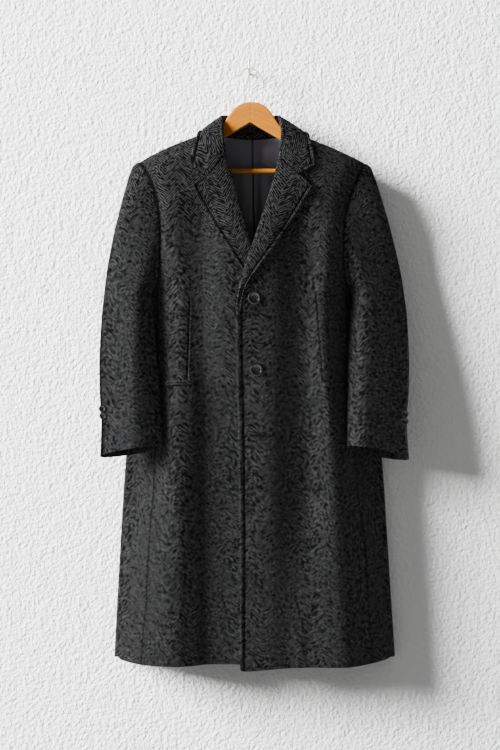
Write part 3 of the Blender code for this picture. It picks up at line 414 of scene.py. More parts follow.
    def outline_x(self, x: Array, drop: Array) -> Array:
        """x of the body's outline on the side where a place is."""
        right, left = (self.sides[side].read("x", drop) for side in (Side.RIGHT, Side.LEFT))
        return np.where(x < self.centre_back_x, right, left)

    def front_reach(self, x: Number, drop: Number) -> Array:
        """Reach of the fronts' middle surface.

        Args:
            x: Places across.
            drop: Places down.

        Returns:
            The reach at the places.
        """
        x, drop = np.broadcast_arrays(np.asarray(x, float), np.asarray(drop, float))
        edge = self.section.read("edge", drop)
        share = np.clip(np.abs(x - self.outline_x(x, drop)) / self.section.read("run", drop), 0, 1)
        rise = np.sin(math.pi / 2 * share ** self.section.read("power", drop))
        reach = edge + (self.section.read("crest", drop) - edge) * rise
        reach = reach + self.folds(self.front_folds, x, drop) * rise
        return self.shoulder_roll(x, drop, reach, self.front_roll)

    def back_reach(self, x: Number, drop: Number) -> Array:
        """Reach of the back's middle surface.

        Args:
            x: Places across.
            drop: Places down.

        Returns:
            The reach at the places.
        """
        x, drop = np.broadcast_arrays(np.asarray(x, float), np.asarray(drop, float))
        inside = ease(np.abs(x - self.outline_x(x, drop)) / self.back_edge_fade)
        reach = self.back + self.folds(self.back_folds, x, drop) * inside
        return self.shoulder_roll(x, drop, reach, self.back_roll)

    def lapped_reach(self, side: Side, x: Number, drop: Number) -> Array:
        """Reach of one front's middle surface, with the left one lapped over the right.

        Args:
            side: Which front.
            x: Places across.
            drop: Places down.

        Returns:
            The reach at the places.
        """
        reach = self.front_reach(x, drop)
        if side is Side.RIGHT:
            return reach
        x, drop = np.asarray(x), np.asarray(drop)
        extra = self.overlap_at_lapel - self.overlap
        height = self.overlap + extra * (1 - rise(drop, *self.overlap_thins))
        end, fade = self.overlap_end
        return reach + height * rise(drop, *self.overlap_top) * ease((end - x) / fade)

    def armhole(self, side: Side, angle: Number) -> tuple[Array, Array, Array]:
        """The armhole seam.

        Args:
            side: Which armhole.
            angle: Angles round the arm: 0 on the shoulder, 90 in front.

        Returns:
            x, drop and reach at the angles.
        """
        angle = np.asarray(angle, float)
        x, drop = self.armholes[side].read("x", angle), self.armholes[side].read("drop", angle)
        front, back = self.front_reach(x, drop), self.back_reach(x, drop)
        turned = ease((angle - self.front_angle) / (self.back_angle - self.front_angle))
        reach = front + (back - front) * np.where(angle > self.top_angle, 0.0, turned)
        return x, drop, np.where(angle > self.full_turn, self.shoulder.read("reach", x), reach)

    def gap_at(self, angle: Number) -> Array:
        """From the armhole's line to a middle surface's edge, wider under the arm."""
        inside = (angle - self.underarm[0], self.underarm[1] - angle)
        under = math.prod(ease(at / self.underarm_fade) for at in inside)
        return self.armhole_gap + self.underarm_shift * under

    def body_armhole(self, side: Side, angle: Number) -> Array:
        """The armhole as the body's edge, as (x, drop)."""
        x, drop, _ = self.armhole(side, angle)
        return np.stack([x - side * self.gap_at(angle), drop], axis=-1)

    def side_seam(self, rows: Rows, side: Side, drop: Number) -> Array:
        """x of a seam of the side body, which is tucked in below the arm."""
        tucked = 1 - ease((np.asarray(drop) - rows["drop"][0]) / self.tuck_drop)
        return rows.read("x", drop) - side * (float(self.gap_at(self.front_angle)) - self.seam) * tucked

    def side_point(self, side: Side, drop: Number, way: Number) -> tuple[Array, Array]:
        """Point (x, reach) of the body's side, from the front seam round to the back one.

        Args:
            side: Which side.
            drop: Places down.
            way: Shares of the way from the front seam to the back one.

        Returns:
            x and reach.
        """
        drop, way = np.broadcast_arrays(np.asarray(drop, float), np.asarray(way, float))
        radius = (self.section.read("edge", drop) - self.back) / 2
        turn_x = self.sides[side].read("x", drop) - side * radius
        front_x = self.side_seam(self.side_front_seam[side], side, drop) + side * self.seam
        back_x = self.side_seam(self.side_back_seam[side], side, drop) + side * self.seam
        flank = front_x + (turn_x - front_x) * way / self.flank_end
        behind = turn_x + (back_x - turn_x) * (way - self.round_end) / (1 - self.round_end)
        share = np.clip((way - self.flank_end) / (self.round_end - self.flank_end), 0, 1)
        front, back = self.front_reach(turn_x, drop), self.back_reach(turn_x, drop)
        pick = [way <= self.flank_end, way >= self.round_end]
        x = np.select(pick, [flank, behind], turn_x + side * radius * np.sin(math.pi * share))
        turned = (front + back) / 2 + (front - back) / 2 * np.cos(math.pi * share)
        return x, np.select(pick, [self.front_reach(flank, drop), self.back_reach(behind, drop)], turned)

    def sleeve_span(self, side: Side, angle: Array) -> tuple[Array, Array]:
        """Drops of a sleeve's top and cuff.

        Args:
            side: Which sleeve.
            angle: Angles round the arm.

        Returns:
            The drops of the top and of the cuff at the angles.
        """
        turn = np.radians(angle)
        outer, inner, sway = self.cuffs[side]
        cuff = (outer + inner) / 2 + (outer - inner) / 2 * np.cos(turn) - sway * np.sin(turn)
        return self.armholes[side].read("drop", np.mod(angle, 360)), cuff

    def sleeve_section(self, side: Side, angle: Array, at: Array) -> tuple[Array, Array]:
        """A sleeve's oval section, which leans in towards the outside and is pinched to a soft crease.

        Args:
            side: Which sleeve.
            angle: Angles round the arm.
            at: Drops of the section.

        Returns:
            x and reach.
        """
        rows, sine, cosine = self.sleeves[side], np.sin(np.radians(angle)), np.cos(np.radians(angle))
        outer, inner, front = rows.read("outer", at), rows.read("inner", at), np.clip(sine, 0, 1)
        across = (outer + inner) / 2 + side * np.abs(outer - inner) / 2 * cosine
        oval = np.where(sine > 0, front ** self.sleeve_point_power, sine)
        reach = rows.read("middle", at) + rows.read("half", at) * oval
        reach = reach - self.sleeve_lean * front * (1 + cosine) / 2 * rise(at, *self.sleeve_lean_top)
        (crease, turned), (ridge, hollow) = self.sleeve_crease[side], self.sleeve_pinch
        crease = crease + turned * rise(at, *self.sleeve_crease_turn)
        pinch = ridge * front * hump((cosine - crease) / self.sleeve_ridge_width) - hollow * front
        return across, reach + self.sleeve_ridge * rise(at, *self.sleeve_ridge_top) * pinch

    def sleeve_point(self, side: Side, angle: Array, share: Array) -> tuple[Array, Array, Array]:
        """Point (x, drop, reach) of a sleeve.

        Args:
            side: Which sleeve.
            angle: Angles round the arm.
            share: Shares of the sleeve's length.

        Returns:
            x, drop and reach.
        """
        turn, around = np.radians(angle), np.mod(angle, 360)
        x, top, top_reach = self.armhole(side, around)
        top_x = x + side * self.gap_at(around)
        drop = top + (self.sleeve_span(side, angle)[1] - top) * share
        shortest = np.where(np.cos(turn) > 0, self.head_blend, self.underarm_blend)
        blend = shortest + (self.front_blend - shortest) * np.abs(np.sin(turn)) ** 1.2
        held = 1 - quarter_round((drop - top) / blend)
        (x0, reach0), (x1, reach1) = (self.sleeve_section(side, angle, at) for at in (top, drop))
        return x1 + (top_x - x0) * held, drop, reach1 + (top_reach - reach0) * held

    def lapel_row(self, side: Side, share: Number) -> tuple[Array, Array, Array]:
        """One row of a lapel.

        Args:
            side: Which lapel.
            share: Shares of its length.

        Returns:
            Roll point, outer edge point and way across.
        """
        rows = self.lapels[side]
        at = np.asarray(share, float) * rows["station"][-1]
        roll, edge = rows.spot("roll", at), rows.spot("edge", at)
        return roll, edge, unit(edge - roll)

    def along_ridge(self, x: Array, drop: Array, share: Array) -> Array:
        """Drops across rows, curved like the shoulder line.

        Args:
            x: Places across, rows by columns.
            drop: Their drops on straight rows.
            share: How much of the shoulder's curve each row takes.

        Returns:
            The drops on the curved rows.
        """
        ridge = self.shoulder.read("drop", x)
        first, last = ridge[:, :1], ridge[:, -1:]
        chord = first + (last - first) * (x - x[:, :1]) / (x[:, -1:] - x[:, :1])
        return drop + (ridge - chord) * share[:, None]


# Shader helpers


class Tint:
    """A colour or vector socket."""

    def __init__(self, sheet: "NodeSheet", socket: Socket) -> None:
        """Wraps a socket of a node sheet."""
        self.sheet, self.socket = sheet, socket


class Value(Tint):
    """A number's socket, on which Python's operators add Math nodes."""

    def _math(self, operation: str, *others: Any) -> "Value":
        """One Math node on this value and others."""
        return self.sheet.math(operation, self, *others)

    def __add__(self, other: Any) -> "Value":
        """Sum."""
        return self._math("ADD", other)

    __radd__ = __add__

    def __sub__(self, other: Any) -> "Value":
        """Difference."""
        return self._math("SUBTRACT", other)

    def __rsub__(self, other: Any) -> "Value":
        """Difference from a number."""
        return self.sheet.math("SUBTRACT", other, self)

    def __mul__(self, other: Any) -> "Value":
        """Product."""
        return self._math("MULTIPLY", other)

    __rmul__ = __mul__

    def __truediv__(self, other: Any) -> "Value":
        """Quotient."""
        return self._math("DIVIDE", other)

    def __abs__(self) -> "Value":
        """Size without its sign."""
        return self._math("ABSOLUTE")

    def wave(self, half: float) -> "Value":
        """The value as a zigzag between 0 and half of its period."""
        return self._math("PINGPONG", half)

    def floor(self) -> "Value":
        """The whole number below."""
        return self._math("FLOOR")

    def stepped(self, low: float, high: float) -> "Value":
        """0 below low and 1 above high, with a soft step between them."""
        made = self.sheet.node(
            "ShaderNodeMapRange", {"interpolation_type": "SMOOTHSTEP"},
            {"Value": self, "From Min": low, "From Max": high},
        )
        return Value(self.sheet, made.outputs["Result"])


class NodeSheet:
    """The nodes of one material."""

    def __init__(self, name: str) -> None:
        """Starts a material with an empty Principled shader.

        Args:
            name: The material's name.
        """
        self.material = bpy.data.materials.new(name)
        self.material.use_nodes = True
        self.tree = self.material.node_tree
        self.shader = self.tree.nodes["Principled BSDF"]

    def feed(self, socket: Socket, value: Any) -> None:
        """Sets a socket to a value, or links it to another socket.

        Args:
            socket: The socket that is fed.
            value: A number, a colour, or a socket with or without its wrapping.
        """
        value = value.socket if isinstance(value, Tint) else value
        if isinstance(value, Socket):
            self.tree.links.new(value, socket)
        else:
            socket.default_value = (*value, 1.0) if isinstance(value, tuple) else value

    def node(self, kind: str, settings: dict[str, Any], sockets: dict[Any, Any]) -> Node:
        """Adds a node.

        Args:
            kind: The node's type.
            settings: Its settings, set first.
            sockets: Values or links of its inputs, by name or number.

        Returns:
            The node.
        """
        made = self.tree.nodes.new(kind)
        for key, value in settings.items():
            setattr(made, key, value)
        for key, value in sockets.items():
            self.feed(made.inputs[key], value)
        return made

    def math(self, operation: str, *values: Any) -> Value:
        """A Math node."""
        made = self.node("ShaderNodeMath", {"operation": operation}, dict(enumerate(values)))
        return Value(self, made.outputs[0])

    def uv(self, name: str) -> Tint:
        """A UV map's coordinates."""
        return Tint(self, self.node("ShaderNodeUVMap", {"uv_map": name}, {}).outputs["UV"])

    def place(self) -> Tint:
        """The object's own coordinates, in metres."""
        return Tint(self, self.node("ShaderNodeTexCoord", {}, {}).outputs["Object"])

    def parts(self, vector: Tint) -> tuple[Value, Value, Value]:
        """A vector's three numbers."""
        made = self.node("ShaderNodeSeparateXYZ", {}, {"Vector": vector})
        return tuple(Value(self, socket) for socket in made.outputs)

    def joined(self, x: Any, y: Any, z: Any = 0.0) -> Tint:
        """Three numbers as a vector."""
        made = self.node("ShaderNodeCombineXYZ", {}, {"X": x, "Y": y, "Z": z})
        return Tint(self, made.outputs["Vector"])

    def noise(self, at: Tint, scale: float, detail: float = 2.0, rough: float = 0.5) -> Value:
        """Cloudy noise from 0 to 1."""
        made = self.node(
            "ShaderNodeTexNoise", {"noise_dimensions": "3D"},
            {"Vector": at, "Scale": scale, "Detail": detail, "Roughness": rough},
        )
        return Value(self, made.outputs["Fac"])

    def mark(self, name: str) -> Value:
        """A number kept at the mesh's own points."""
        return Value(self, self.node("ShaderNodeAttribute", {"attribute_name": name}, {}).outputs["Fac"])

    def blend(self, share: Any, first: Any, second: Any) -> Tint:
        """A mix of two colours."""
        made = self.node("ShaderNodeMix", {"data_type": "RGBA"}, {0: share, 6: first, 7: second})
        return Tint(self, made.outputs[2])

    def bump(self, height: Value, distance: float, strength: float) -> Tint:
        """A normal from heights between 0 and 1 that stand for a distance in metres."""
        sockets = {"Height": height, "Distance": distance, "Strength": strength}
        return Tint(self, self.node("ShaderNodeBump", {}, sockets).outputs["Normal"])

    def dress(self, **sockets: Any) -> Material:
        """Feeds the Principled shader, with _ for a space in each socket's name."""
        for key, value in sockets.items():
            self.feed(self.shader.inputs[key.replace("_", " ").title().replace("Ior", "IOR")], value)
        return self.material


# Finishes


@dataclass(frozen=True)
class HerringboneWool:
    """Charcoal coating in a salt-and-pepper herringbone, brushed a little."""

    name: str = "Charcoal herringbone wool"
    column: float = 24.5
    pitch: float = 5.7
    rib: float = 0.8
    flecks: float = 360.0
    salt: float = 2.1
    dark: Triple = (0.0050, 0.0050, 0.0052)
    light: Triple = (0.080, 0.080, 0.0815)

    def material(self) -> Material:
        """The finish as a material.

        Returns:
            The material.
        """
        sheet = NodeSheet(self.name)
        weave = sheet.uv("Weave")
        u, v, _ = sheet.parts(weave)
        broad = sheet.noise(weave, 24.0, 1.0)
        middle = sheet.noise(sheet.joined(u, v, 3.7), 90.0, 1.0)
        fine = sheet.noise(sheet.joined(u, v, 5.9), 900.0, 1.0)
        across = u * 1000.0 + (broad - 0.5) * 9.0 + (middle - 0.5) * 4.0
        slant = across.wave(self.column) * METRES
        over, along = v + slant, slant - v
        own = (across / self.column).floor() * 3.17
        rib = (over * (1000.0 / self.pitch) + (middle - 0.5) * 0.9 + (broad - 0.5) * 0.7).wave(0.5) * 2.0
        fleck = sheet.noise(sheet.joined(along * 0.27, over, own), self.flecks, 0.0)
        value = (rib - 0.5) * self.rib + (fleck - 0.5) * self.salt + (fine - 0.5) * 0.3 + 0.5
        lit = value.stepped(0.3, 0.88)
        # Painted shade: seams, stitch grooves, darts and slits are darkened near to black, as shade falls
        # in their creases.
        groove_shade = sheet.mark("groove_shade")
        colour = sheet.blend(lit, self.dark, self.light)
        colour = sheet.blend(groove_shade * 0.85, colour, tuple(c * 0.4 for c in self.dark))
        normal = sheet.bump(value.stepped(-0.2, 1.2), 0.0005, 1.0)
        return sheet.dress(
            base_color=colour, roughness=0.92 - lit * 0.08, normal=normal, sheen_weight=0.01,
            sheen_roughness=0.5, sheen_tint=(0.8, 0.82, 0.85), specular_ior_level=0.05,
        )


@dataclass(frozen=True)
class SatinLining:
    """Dark satin with a faint purple sheen and fine upright threads."""

    name: str = "Dark satin lining"
    colour: Triple = (0.030, 0.028, 0.036)

    def material(self) -> Material:
        """The finish as a material.

        Returns:
            The material.
        """
        sheet = NodeSheet(self.name)
        weave = sheet.uv("Weave")
        u, v, _ = sheet.parts(weave)
        thread = sheet.noise(sheet.joined(u * 30.0, v), 60.0, 2.0)
        cloud = sheet.noise(weave, 12.0, 2.0)
        colour = sheet.blend(
            (thread * 0.5 + cloud * 0.5).stepped(0.3, 0.7), tuple(c * 0.75 for c in self.colour),
            tuple(c * 1.3 for c in self.colour),
        )
        # Painted shade along the centre pleat's line, darkened near to black.
        colour = sheet.blend(sheet.mark("groove_shade") * 0.85, colour, (0.002, 0.002, 0.0024))
        normal = sheet.bump(thread, 0.0003, 0.35)
        return sheet.dress(
            base_color=colour, roughness=0.36 + thread * 0.14, normal=normal,
            sheen_weight=0.25, sheen_roughness=0.3, sheen_tint=(0.8, 0.74, 0.9),
        )


@dataclass(frozen=True)
class BlackHorn:
    """Polished black horn with faint streaks."""

    name: str = "Black horn"

    def material(self) -> Material:
        """The finish as a material.

        Returns:
            The material.
        """
        sheet = NodeSheet(self.name)
        at = sheet.place()
        x, y, z = sheet.parts(at)
        streak = sheet.noise(sheet.joined(x * 3.0, y, z * 0.7), 160.0, 4.0, 0.6)
        scuff = sheet.noise(at, 900.0, 3.0, 0.6)
        colour = sheet.blend(streak.stepped(0.45, 0.75), (0.004, 0.004, 0.0042), (0.02, 0.018, 0.016))
        return sheet.dress(
            base_color=colour, roughness=0.31 + scuff * 0.1, normal=sheet.bump(scuff, 0.0001, 0.2),
            specular_ior_level=0.22, coat_weight=0.03, coat_roughness=0.12,
        )


@dataclass(frozen=True)
class SewingThread:
    """Twisted black thread."""

    name: str = "Black thread"

    def material(self) -> Material:
        """The finish as a material.

        Returns:
            The material.
        """
        sheet = NodeSheet(self.name)
        x, y, z = sheet.parts(sheet.place())
        twist = ((x + z + y) * 1100.0).wave(0.5) * 2.0
        colour = sheet.blend(twist, (0.004, 0.004, 0.004), (0.02, 0.02, 0.021))
        return sheet.dress(base_color=colour, roughness=0.8, normal=sheet.bump(twist, 0.0002, 0.6))


@dataclass(frozen=True)
class VarnishedWood:
    """Light wood under a warm varnish, with its grain along each arm."""

    name: str = "Varnished light wood"
    slope: float = 0.42
    joint_x: float = 0.0037

    def material(self) -> Material:
        """The finish as a material.

        Returns:
            The material.
        """
        sheet = NodeSheet(self.name)
        at = sheet.place()
        x, y, z = sheet.parts(at)
        out = abs(x - self.joint_x)
        along = out + z * -self.slope
        over = z + out * self.slope
        grain = sheet.noise(sheet.joined(along * 6.0, y * 90.0, over * 120.0), 1.6, 5.0, 0.62)
        pore = sheet.noise(sheet.joined(along * 40.0, y * 900.0, over * 900.0), 1.0, 3.0, 0.6)
        band = sheet.noise(sheet.joined(along * 3.0, y * 10.0, over * 26.0), 1.5, 3.0)
        colour = sheet.blend(grain.stepped(0.32, 0.68), (0.27, 0.086, 0.0005), (0.34, 0.112, 0.0005))
        colour = sheet.blend(band.stepped(0.42, 0.7) * 0.5, colour, (0.355, 0.121, 0.001))
        colour = sheet.blend(pore.stepped(0.56, 0.72) * 0.3, colour, (0.18, 0.052, 0.0005))
        return sheet.dress(
            base_color=colour, roughness=0.5 + pore * 0.12, coat_weight=0.03, coat_roughness=0.25,
            specular_ior_level=0.15,
            normal=sheet.bump(grain * 0.6 + pore * 0.4, 0.0004, 0.25),
        )


@dataclass(frozen=True)
class Metal:
    """Metal that is dulled or browned in cloudy places."""

    name: str
    clean: Triple
    aged: Triple
    cloud: Floats  # scale, detail and roughness of the places
    step: Floats
    metallic: float
    roughness: Floats  # where it is clean, and how much rougher it gets
    grain: Floats
    bump: Floats

    def material(self) -> Material:
        """The finish as a material.

        Returns:
            The material.
        """
        sheet = NodeSheet(self.name)
        at, (smoothest, more) = sheet.place(), self.roughness
        age = sheet.noise(at, *self.cloud)
        colour = sheet.blend(age.stepped(*self.step), self.clean, self.aged)
        normal = sheet.bump(sheet.noise(at, *self.grain), *self.bump)
        return sheet.dress(base_color=colour, metallic=self.metallic, roughness=age * more + smoothest,
                           normal=normal)


DRAWN_STEEL = Metal(
    "Steel wire", (0.52, 0.52, 0.52), (0.28, 0.27, 0.26), (90.0, 4.0, 0.6), (0.4, 0.7), 1.0,
    (0.22, 0.25), (1500.0, 2.0), (0.0001, 0.2),
)
AGED_BRASS = Metal(
    "Aged brass", (0.50, 0.42, 0.27), (0.16, 0.12, 0.08), (110.0, 5.0, 0.65), (0.35, 0.65), 0.9,
    (0.34, 0.3), (700.0, 3.0), (0.0002, 0.3),
)


@dataclass(frozen=True)
class Plaster:
    """Pale matt wall or floor, a little rough."""

    name: str
    colour: Triple
    depth: float
    open_behind: bool = False

    def material(self) -> Material:
        """The finish as a material, which can be seen through from behind if it is open there.

        Returns:
            The material.
        """
        sheet = NodeSheet(self.name)
        at = sheet.place()
        cloud = sheet.noise(at, 2.2, 4.0)
        coarse = sheet.noise(at, 38.0, 2.0, 0.55) * 0.4 + sheet.noise(at, 125.0, 1.5, 0.6) * 0.6
        colour = sheet.blend(cloud, tuple(c * 0.97 for c in self.colour), self.colour)
        sheet.dress(
            base_color=colour, roughness=0.9, normal=sheet.bump(coarse, self.depth, 1.0),
            specular_ior_level=0.2,
        )
        if self.open_behind:
            behind = sheet.node("ShaderNodeNewGeometry", {}, {}).outputs["Backfacing"]
            clear = sheet.node("ShaderNodeBsdfTransparent", {}, {})
            mixed = sheet.node(
                "ShaderNodeMixShader", {},
                {0: behind, 1: sheet.shader.outputs[0], 2: clear.outputs[0]},
            )
            sheet.feed(sheet.tree.nodes["Material Output"].inputs["Surface"], mixed.outputs[0])
        return sheet.material


def made(finish: Any) -> Any:
    """A field that holds a finish's material."""
    return field(default_factory=finish.material)


@dataclass(frozen=True)
class Finishes:
    """Every finish of the part, made once."""

    wool: Material = made(HerringboneWool())
    lining: Material = made(SatinLining())
    horn: Material = made(BlackHorn())
    thread: Material = made(SewingThread())
    wood: Material = made(VarnishedWood())
    steel: Material = made(DRAWN_STEEL)
    brass: Material = made(AGED_BRASS)


# Meshes


def add_piece(name: str, mesh: Mesh, material: Material,
              nodes: Sequence[str] = ()) -> Object:
    """Adds a piece of the coat to the scene and to the frame.

    Args:
        name: The piece's name.
        mesh: Its mesh, in metres in the part's frame.
        material: Its finish.
        nodes: The nodes that it stands for.

    Returns:
        The piece.
    """
    piece = put_in_scene(name, mesh)
    mesh.materials.append(material)
    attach(piece, "root")
    if nodes:
        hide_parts(*nodes)
    return piece


def mesh_of(shape: bmesh.types.BMesh, name: str) -> Mesh:
    """The mesh of a shape, which is given up.

    Args:
        shape: The shape.
        name: The mesh's name.

    Returns:
        The mesh.
    """
    mesh = bpy.data.meshes.new(name)
    shape.to_mesh(mesh)
    shape.free()
    return mesh


def add_groove_shade(mesh: Mesh, dark: Array) -> None:
    """Keeps at a mesh's points how much painted shade darkens its seams, stitch lines and slits."""
    mesh.attributes.new("groove_shade", "FLOAT", "POINT").data.foreach_set("value", dark.ravel())


def put_in_scene(name: str, data: Any) -> Object:
    """Adds a mesh, lamp or lens to the scene.

    Args:
        name: The object's name.
        data: What it holds.

    Returns:
        The object.
    """
    thing = bpy.data.objects.new(name, data)
    bpy.context.scene.collection.objects.link(thing)
    return thing


def grid_faces(index: Array, turned: bool = False) -> list[list[int]]:
    """The faces between a grid's points, which are given by their numbers."""
    corners = [index[:-1, :-1], index[:-1, 1:], index[1:, 1:], index[1:, :-1]]
    quads = np.stack(corners, axis=2).reshape(-1, 4)
    return (quads[:, ::-1] if turned else quads).tolist()


def tube_mesh(
    name: str, points: Array, radius: float, around: int = 16, dark: float | None = None
) -> Mesh:
    """A round tube with domed ends.

    Args:
        name: The mesh's name.
        points: Its middle line, in metres.
        radius: Its radius, in metres.
        around: Points round it.
        dark: How much painted shade darkens it as part of a seam or slit, for a tube of cloth.

    Returns:
        The mesh.
    """
    points = np.asarray(points, float)
    tangents = unit(np.gradient(points, axis=0))
    side = unit(np.cross(tangents[0], (0.3, 0.9, 0.1)))
    sides = []
    for tangent in tangents:
        side = unit(side - tangent * side.dot(tangent))
        sides.append(side)
    sides = np.array(sides)
    ups = np.cross(tangents, sides)
    dome = ((-0.95, 0.25), (-0.7, 0.7), (-0.3, 0.95))
    rings = [(points[0] + tangents[0] * radius * s, radius * r, 0) for s, r in dome]
    rings += [(point, radius, i) for i, point in enumerate(points)]
    last = len(points) - 1
    rings += [(points[-1] - tangents[-1] * radius * s, radius * r, last) for s, r in dome[::-1]]
    turns = np.linspace(0, 2 * math.pi, around, endpoint=False)
    vertices = []
    for centre, size, i in rings:
        vertices += [centre + size * (sides[i] * math.cos(t) + ups[i] * math.sin(t)) for t in turns]
    index = np.arange(len(vertices)).reshape(-1, around)
    faces = [*grid_faces(np.hstack([index, index[:, :1]])), index[0, ::-1].tolist(), index[-1].tolist()]
    mesh = bpy.data.meshes.new(name)
    mesh.from_pydata([tuple(v) for v in vertices], [], faces)
    mesh.shade_smooth()
    if dark is not None:
        mesh.uv_layers.new(name="Weave")
        add_groove_shade(mesh, np.full(len(vertices), dark))
    return mesh


def run_along(steps: Array, axis: int) -> Array:
    """How far each point of a net is from the first, along one of its ways."""
    return np.pad(np.cumsum(steps, axis=axis), [(int(axis == way), 0) for way in (0, 1)])


def arc_weave(grid: Array, column: int = 0, row: int = 0) -> Array:
    """Weave coordinates of a grid, along its own rows and columns.

    Args:
        grid: Points, rows by columns.
        column: The column at u = 0.
        row: The row at v = 0.

    Returns:
        (u, v) at the points, in metres.
    """
    u = run_along(np.linalg.norm(np.diff(grid, axis=1), axis=2), 1)
    v = run_along(np.linalg.norm(np.diff(grid, axis=0), axis=2), 0)
    return np.stack([u - u[:, column:column + 1], v - v[row:row + 1]], axis=2)


@dataclass(frozen=True)
class Net:
    """Numbers on an even net, read between its points."""

    rows: Array
    columns: Array
    values: Array

    def read(self, row: Array, column: Array) -> Array:
        """The numbers at places on the net.

        Args:
            row: The places' rows.
            column: The places' columns.

        Returns:
            The numbers.
        """
        j, i = (np.clip((at - keys[0]) / (keys[1] - keys[0]), 0, len(keys) - 1.001)
                for at, keys in ((row, self.rows), (column, self.columns)))
        j0, i0 = j.astype(int), i.astype(int)
        t, s = j - j0, i - i0
        low, high = (self.values[at, i0] * (1 - s) + self.values[at, i0 + 1] * s for at in (j0, j0 + 1))
        return low * (1 - t) + high * t


def hanging_weave(
    reach: Callable[[Array, Array], Array], origin_x: float, x: Array, drop: Array
) -> Array:
    """Weave coordinates of a surface that hangs, with its grain upright.

    Args:
        reach: The surface's reach at x and drop.
        origin_x: Where u is 0.
        x: Places across.
        drop: Places down.

    Returns:
        (u, v) at the places, in metres.
    """
    step, steepest = 2.0, 1.5
    columns, rows = np.arange(-340.0, 341.0, step), np.arange(92.0, 1250.0, step)
    net = reach(columns[None, :], rows[:, None])
    slopes = (np.clip(np.diff(net, axis=axis) / step, -steepest, steepest) for axis in (0, 1))
    v, u = (run_along(step * np.hypot(1, slope), axis) for axis, slope in enumerate(slopes))
    start = int(round((origin_x - columns[0]) / step))
    across, up = Net(rows, columns, u - u[:, start:start + 1]), Net(rows, columns, v[-1:] - v)
    return np.stack([across.read(drop, x), up.read(drop, x)], axis=2) * METRES


def sleeve_weave(form: CoatForm, side: Side, shift: float, angle: Array, drop: Array) -> Array:
    """Weave coordinates of a sleeve, with its grain along the arm.

    Args:
        form: The coat's form.
        side: Which sleeve.
        shift: u in millimetres on the front of the arm.
        angle: Angles round the arm.
        drop: Places down.

    Returns:
        (u, v) at the places, in metres.
    """
    turn_step, drop_step = 3.0, 4.0
    columns, rows = np.arange(-20.0, 352.0, turn_step), np.arange(184.0, 816.0, drop_step)
    top, cuff = form.sleeve_span(side, columns[None, :])
    share = np.clip((rows[:, None] - top) / (cuff - top), 0, 1)
    x, _, reach = form.sleeve_point(side, columns[None, :], share)
    u = run_along(np.hypot(np.diff(x), np.diff(reach)), 1)
    outer, front = (int(round((turn - columns[0]) / turn_step)) for turn in (10.0, 90.0))
    u = u - u[:, outer:outer + 1]
    level = int(round((480.0 - rows[0]) / drop_step))
    across = Net(rows, columns, u - u[level, front])
    angle, drop = np.broadcast_arrays(angle, drop)
    return np.stack([across.read(drop, angle) + shift, -drop], axis=2) * METRES


def lay_flat(first: Array, second: Array, middle: int) -> tuple[Array, Array]:
    """A strip's two edges unrolled into a plane.

    Args:
        first: Points of one edge.
        second: The points across from them.
        middle: The pair that is laid first, upright, with the second point below.

    Returns:
        The two edges' flat points.
    """
    flat_first, flat_second = np.zeros((len(first), 2)), np.zeros((len(first), 2))
    flat_second[middle] = (0.0, -np.linalg.norm(second[middle] - first[middle]))

    def third(p: Array, q: Array, solids: Sequence[Array], turn: int) -> Array:
        """A third corner, laid flat beside two that are flat already.

        Args:
            p: The first flat corner.
            q: The second.
            solids: The three corners before they were laid flat, the new one last.
            turn: 1 or -1, for the side of their line where the new one is.

        Returns:
            The new flat corner.
        """
        to_p, to_q = (np.linalg.norm(solids[2] - solid) for solid in solids[:2])
        span = np.linalg.norm(q - p)
        along = (to_p**2 - to_q**2 + span**2) / (2 * span)
        off = math.sqrt(max(to_p**2 - along**2, 0.0))
        way = (q - p) / span
        return p + way * along + np.array([-way[1], way[0]]) * off * turn

    for step, end in ((1, len(first) - 1), (-1, 0)):
        for index in range(middle, end, step):
            after, q = index + step, flat_second[index]
            p = third(flat_first[index], q, (first[index], second[index], first[after]), step)
            flat_first[after] = p
            flat_second[after] = third(p, q, (first[after], second[index], second[after]), step)
    return flat_first, flat_second


def strip_weave(grid: Array, first: int, middle: int, along_first: bool) -> Array:
    """Weave coordinates of a folded strip, unrolled from one of its columns to the last one.

    Args:
        grid: Points, rows by columns.
        first: The column where the strip starts.
        middle: The row that is laid first.
        along_first: Whether the grain runs along the first column, instead of along the middle row.

    Returns:
        (u, v) at the points, in metres.
    """
    arc = arc_weave(grid, first)[..., 0]
    start, end = lay_flat(grid[:, first], grid[:, -1], middle)
    weave = start[:, None] + (end - start)[:, None] * (arc / arc[:, -1:])[..., None]
    if along_first:
        way = unit(start[-1] - start[0])
        weave = np.stack([weave @ np.array([-way[1], way[0]]), weave @ -way], axis=2)
    return weave


